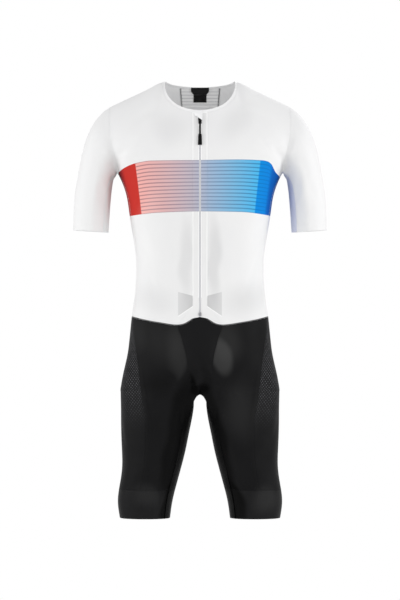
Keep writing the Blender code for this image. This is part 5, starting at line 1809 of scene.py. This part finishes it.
# Where the pin and the slider are, and how far the cloth leans back from upright under the slider
PIN_PLACE = (0, -88.715, -92.268)
SLIDER_PLACE = (0, -82.814, -91.845)
SLIDER_SLOPE = 26.36
SLIDER_PLATE = table(
    "down across thick",
    (-8, 6.0, 1.5), (-6.8, 7.9, 2.2), (-4, 8.6, 2.2), (1.5, 7.3, 2.2), (6.4, 6.8, 2.2), (8, 5.8, 1.5),
)
SLIDER_CROWN = (-1.0, 0.9, 0.5)
LUG = table("down across thick", (-2.3, 1.4, 3.4), (-1.1, 1.4, 5.2), (0.7, 1.4, 5.6), (2.3, 1.4, 4.0))
LUG_SPREAD = 2.1
LUG_DOWN = 3.0
LUG_FOOT = 0.5
PIN_RADIUS = 0.7
PIN_LENGTH = 4.8
PIN_CROWN = 1.06
EDGE_BEVEL = 0.25
SMOOTH_UP_TO = 35.0


def pick(piece, wanted):
    """Opens a piece for editing with the faces selected whose middle and outward direction pass a test."""
    bpy.ops.object.mode_set(mode="EDIT")
    bpy.ops.mesh.select_mode(type="FACE")
    bpy.ops.mesh.select_all(action="DESELECT")
    bpy.ops.object.mode_set(mode="OBJECT")
    for face in piece.data.polygons:
        face.select = wanted(face.center / MM, face.normal)
    bpy.ops.object.mode_set(mode="EDIT")


def drawn_down(name, rows, bevel=EDGE_BEVEL, middle=0.0):
    """A hard piece drawn out of a block through sections down the zip, with its edges rounded."""
    down, across, thick = (np.array(column) * MM for column in rows.values())
    place = (0, -(down[0] + down[1]) / 2, thick[0] * middle)
    bpy.ops.mesh.primitive_cube_add(size=1, location=place)
    piece = bpy.context.object
    piece.name = name
    piece.scale = (across[0], down[1] - down[0], thick[0])
    bpy.ops.object.transform_apply()
    pick(piece, lambda spot, out: out.y < -0.5)
    for n in range(1, len(down)):
        if n > 1:
            shift = (0, down[n - 1] - down[n], 0)
            bpy.ops.mesh.extrude_region_move(TRANSFORM_OT_translate={"value": shift})
        ratio = (across[n] / across[n - 1], 1, thick[n] / thick[n - 1])
        bpy.ops.transform.resize(value=ratio, center_override=(0, -down[n], 0))
    bpy.ops.object.mode_set(mode="OBJECT")
    rounded = piece.modifiers.new("rounded", "BEVEL")
    rounded.width = bevel * MM
    rounded.segments = 2
    rounded.angle_limit = math.radians(SMOOTH_UP_TO)
    bpy.ops.object.modifier_apply(modifier="rounded")
    return piece


def raised(piece, wanted, margin, rise):
    """Raises a pad, or sinks a recess, inside the faces that pass a test."""
    pick(piece, wanted)
    bpy.ops.mesh.inset(thickness=margin * MM, use_boundary=True)
    bpy.ops.mesh.extrude_region_move(TRANSFORM_OT_translate={"value": (0, 0, rise * MM)})
    bpy.ops.object.mode_set(mode="OBJECT")


def joined(pieces):
    """Joins finished shapes into the first of them."""
    bpy.ops.object.select_all(action="DESELECT")
    for piece in pieces:
        piece.select_set(True)
    bpy.context.view_layer.objects.active = pieces[0]
    bpy.ops.object.join()
    return pieces[0]


def fitted(piece, place, slope, material, body, node_name):
    """Puts a finished hard piece on the zip and gives it to the body that it moves with."""
    stand = Matrix.Translation(Vector(place) * MM) @ Matrix.Rotation(math.radians(90 - slope), 4, "X")
    piece.data.transform(stand)
    bpy.ops.object.select_all(action="DESELECT")
    piece.select_set(True)
    bpy.context.view_layer.objects.active = piece
    bpy.ops.object.shade_smooth_by_angle(angle=math.radians(SMOOTH_UP_TO))
    piece.data.materials.clear()
    piece.data.materials.append(material)
    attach(piece, body)
    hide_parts(node_name)


def moulded(name, dark, light, sockets, grain, depth):
    """A hard black finish: its shade changes slightly, and its face is faintly uneven."""
    uneven = {"Scale": 1 / (grain * MM), "Detail": 2.0}
    return textured(name, sockets, (dark, light), "TexNoise", uneven, depth=depth)


lacquer_sockets = {"Roughness": 0.3, "Specular IOR Level": 0.2}
lacquer = moulded("lacquered_zinc_black", "#070708", "#0E0E0F", lacquer_sockets, 1.5, 0.03)
plate = drawn_down("zip_slider_body", SLIDER_PLATE, middle=0.5)
crown_down, crown_margin, crown_rise = SLIDER_CROWN
raised(plate, lambda spot, out: out.z > 0.9 and -spot.y < crown_down, crown_margin, crown_rise)
parts = [plate]
for side in (-1, 1):
    lug = drawn_down("lug", LUG, middle=0.5)
    lug.data.transform(Matrix.Translation(Vector((side * LUG_SPREAD, -LUG_DOWN, LUG_FOOT)) * MM))
    parts.append(lug)
size = {"radius": PIN_RADIUS * MM, "depth": PIN_LENGTH * MM}
bpy.ops.mesh.primitive_cylinder_add(vertices=20, rotation=(0, math.radians(90), 0), **size)
pin = bpy.context.object
bpy.ops.object.transform_apply()
pick(pin, lambda spot, out: abs(out.x) > 0.9)
bpy.ops.mesh.inset(thickness=PIN_RADIUS * MM / 3, use_individual=True)
bpy.ops.transform.resize(value=(PIN_CROWN, 1, 1), center_override=(0, 0, 0))
bpy.ops.object.mode_set(mode="OBJECT")
stand = Matrix.Rotation(math.radians(90 - SLIDER_SLOPE), 4, "X")
pin.data.transform(Matrix.Translation(stand.inverted() @ ((Vector(PIN_PLACE) - Vector(SLIDER_PLACE)) * MM)))
parts.append(pin)
fitted(joined(parts), SLIDER_PLACE, SLIDER_SLOPE, lacquer, "suit", "zip_slider")


# ---- Zip pull ----------------------------------------------------------------------------------------
# The pull swings on the slider's pin. Its eye and flat arm are lacquered metal like the slider, and a
# ribbed rubber grip, wider towards its end, is moulded over the arm's foot.

PULL_SLOPE = 19.36
EYE_MIDDLE = 1.52
EYE_WALL = 0.55
EYE_SPREAD = 1.9
PULL_ARM = table("down across thick", (1.4, 1.9, 1.2), (4.8, 1.9, 1.2), (6.0, 4.1, 1.5), (33, 4.4, 1.5))
ARM_BEVEL = 0.3
ARM_RECESS = (8.0, 0.8, -0.25)
GRIP_ENDS = table(
    "down across thick",
    (31.5, 6.2, 2.0), (32.8, 7.5, 3.0), (56.3, 9.4, 3.0), (57.5, 8.3, 2.0),
)
GRIP_BEVEL = 0.35
GRIP_GROOVES = (40.0, 54.0, 6)
GROOVE_SECTION = table("down less", (0, 0), (0.5, 0.5), (1.1, 0.5), (1.6, 0))

arm = drawn_down("zip_pull_arm", PULL_ARM, ARM_BEVEL)
arm_start, arm_margin, arm_sink = ARM_RECESS
raised(arm, lambda spot, out: out.z > 0.9 and -spot.y > arm_start, arm_margin, arm_sink)
bpy.ops.mesh.primitive_circle_add(vertices=12, radius=EYE_WALL * MM, location=(0, EYE_MIDDLE * MM, 0))
eye = bpy.context.object
eye.scale = (EYE_SPREAD, 1, 1)
bpy.ops.object.transform_apply()
bpy.ops.object.mode_set(mode="EDIT")
bpy.ops.mesh.select_all(action="SELECT")
bpy.ops.mesh.spin(steps=28, angle=2 * math.pi, center=(0, 0, 0), axis=(1, 0, 0))
bpy.ops.mesh.select_all(action="SELECT")
bpy.ops.mesh.remove_doubles(threshold=MM / 1000)
bpy.ops.mesh.normals_make_consistent(inside=False)
bpy.ops.object.mode_set(mode="OBJECT")
fitted(joined([arm, eye]), PIN_PLACE, PULL_SLOPE, lacquer, "pull", "zip_pull")

rows = list(zip(*GRIP_ENDS.values()))
grooves = []
first, last, count = GRIP_GROOVES
for start in evenly(first, last - GROOVE_SECTION["down"][-1], count - 1):
    for down, less in zip(*GROOVE_SECTION.values()):
        at = start + down
        width, thick = (float(np.interp(at, GRIP_ENDS["down"], GRIP_ENDS[k])) for k in ("across", "thick"))
        grooves.append((at, width - less, thick - less))
sockets = {"Roughness": 0.6, "Specular IOR Level": 0.1}
rubber = moulded("moulded_rubber_black", "#0A0A0B", "#121213", sockets, 0.8, 0.04)
grip = drawn_down("zip_pull_grip", table("down across thick", *rows[:2], *grooves, *rows[2:]), GRIP_BEVEL)
fitted(grip, PIN_PLACE, PULL_SLOPE, rubber, "pull", "zip_pull")


# ---- Bottom stop -------------------------------------------------------------------------------------
# A small plated clip is pressed over both woven edges at the foot of the zip, and the slider runs onto
# it. Its face is stamped in a little, inside a plain rim.

STOP_PLACE = (0, -102.733, -525.983)
STOP_SLOPE = 2.85
STOP = table("down across thick", (0, 4.3, 0.9), (0.8, 5.2, 1.4), (7.2, 5.2, 1.4), (8, 4.3, 0.9))
STOP_RECESS = (1.0, -0.3)

sockets = {"Metallic": 1.0, "Roughness": 0.35}
plated = moulded("plated_steel_grey", "#4A4A4D", "#5E5E61", sockets, 2.0, 0.02)
stop = drawn_down("zip_stop_clip", STOP, middle=0.5)
raised(stop, lambda spot, out: out.z > 0.9, *STOP_RECESS)
fitted(stop, STOP_PLACE, STOP_SLOPE, plated, "suit", "zip_stop")
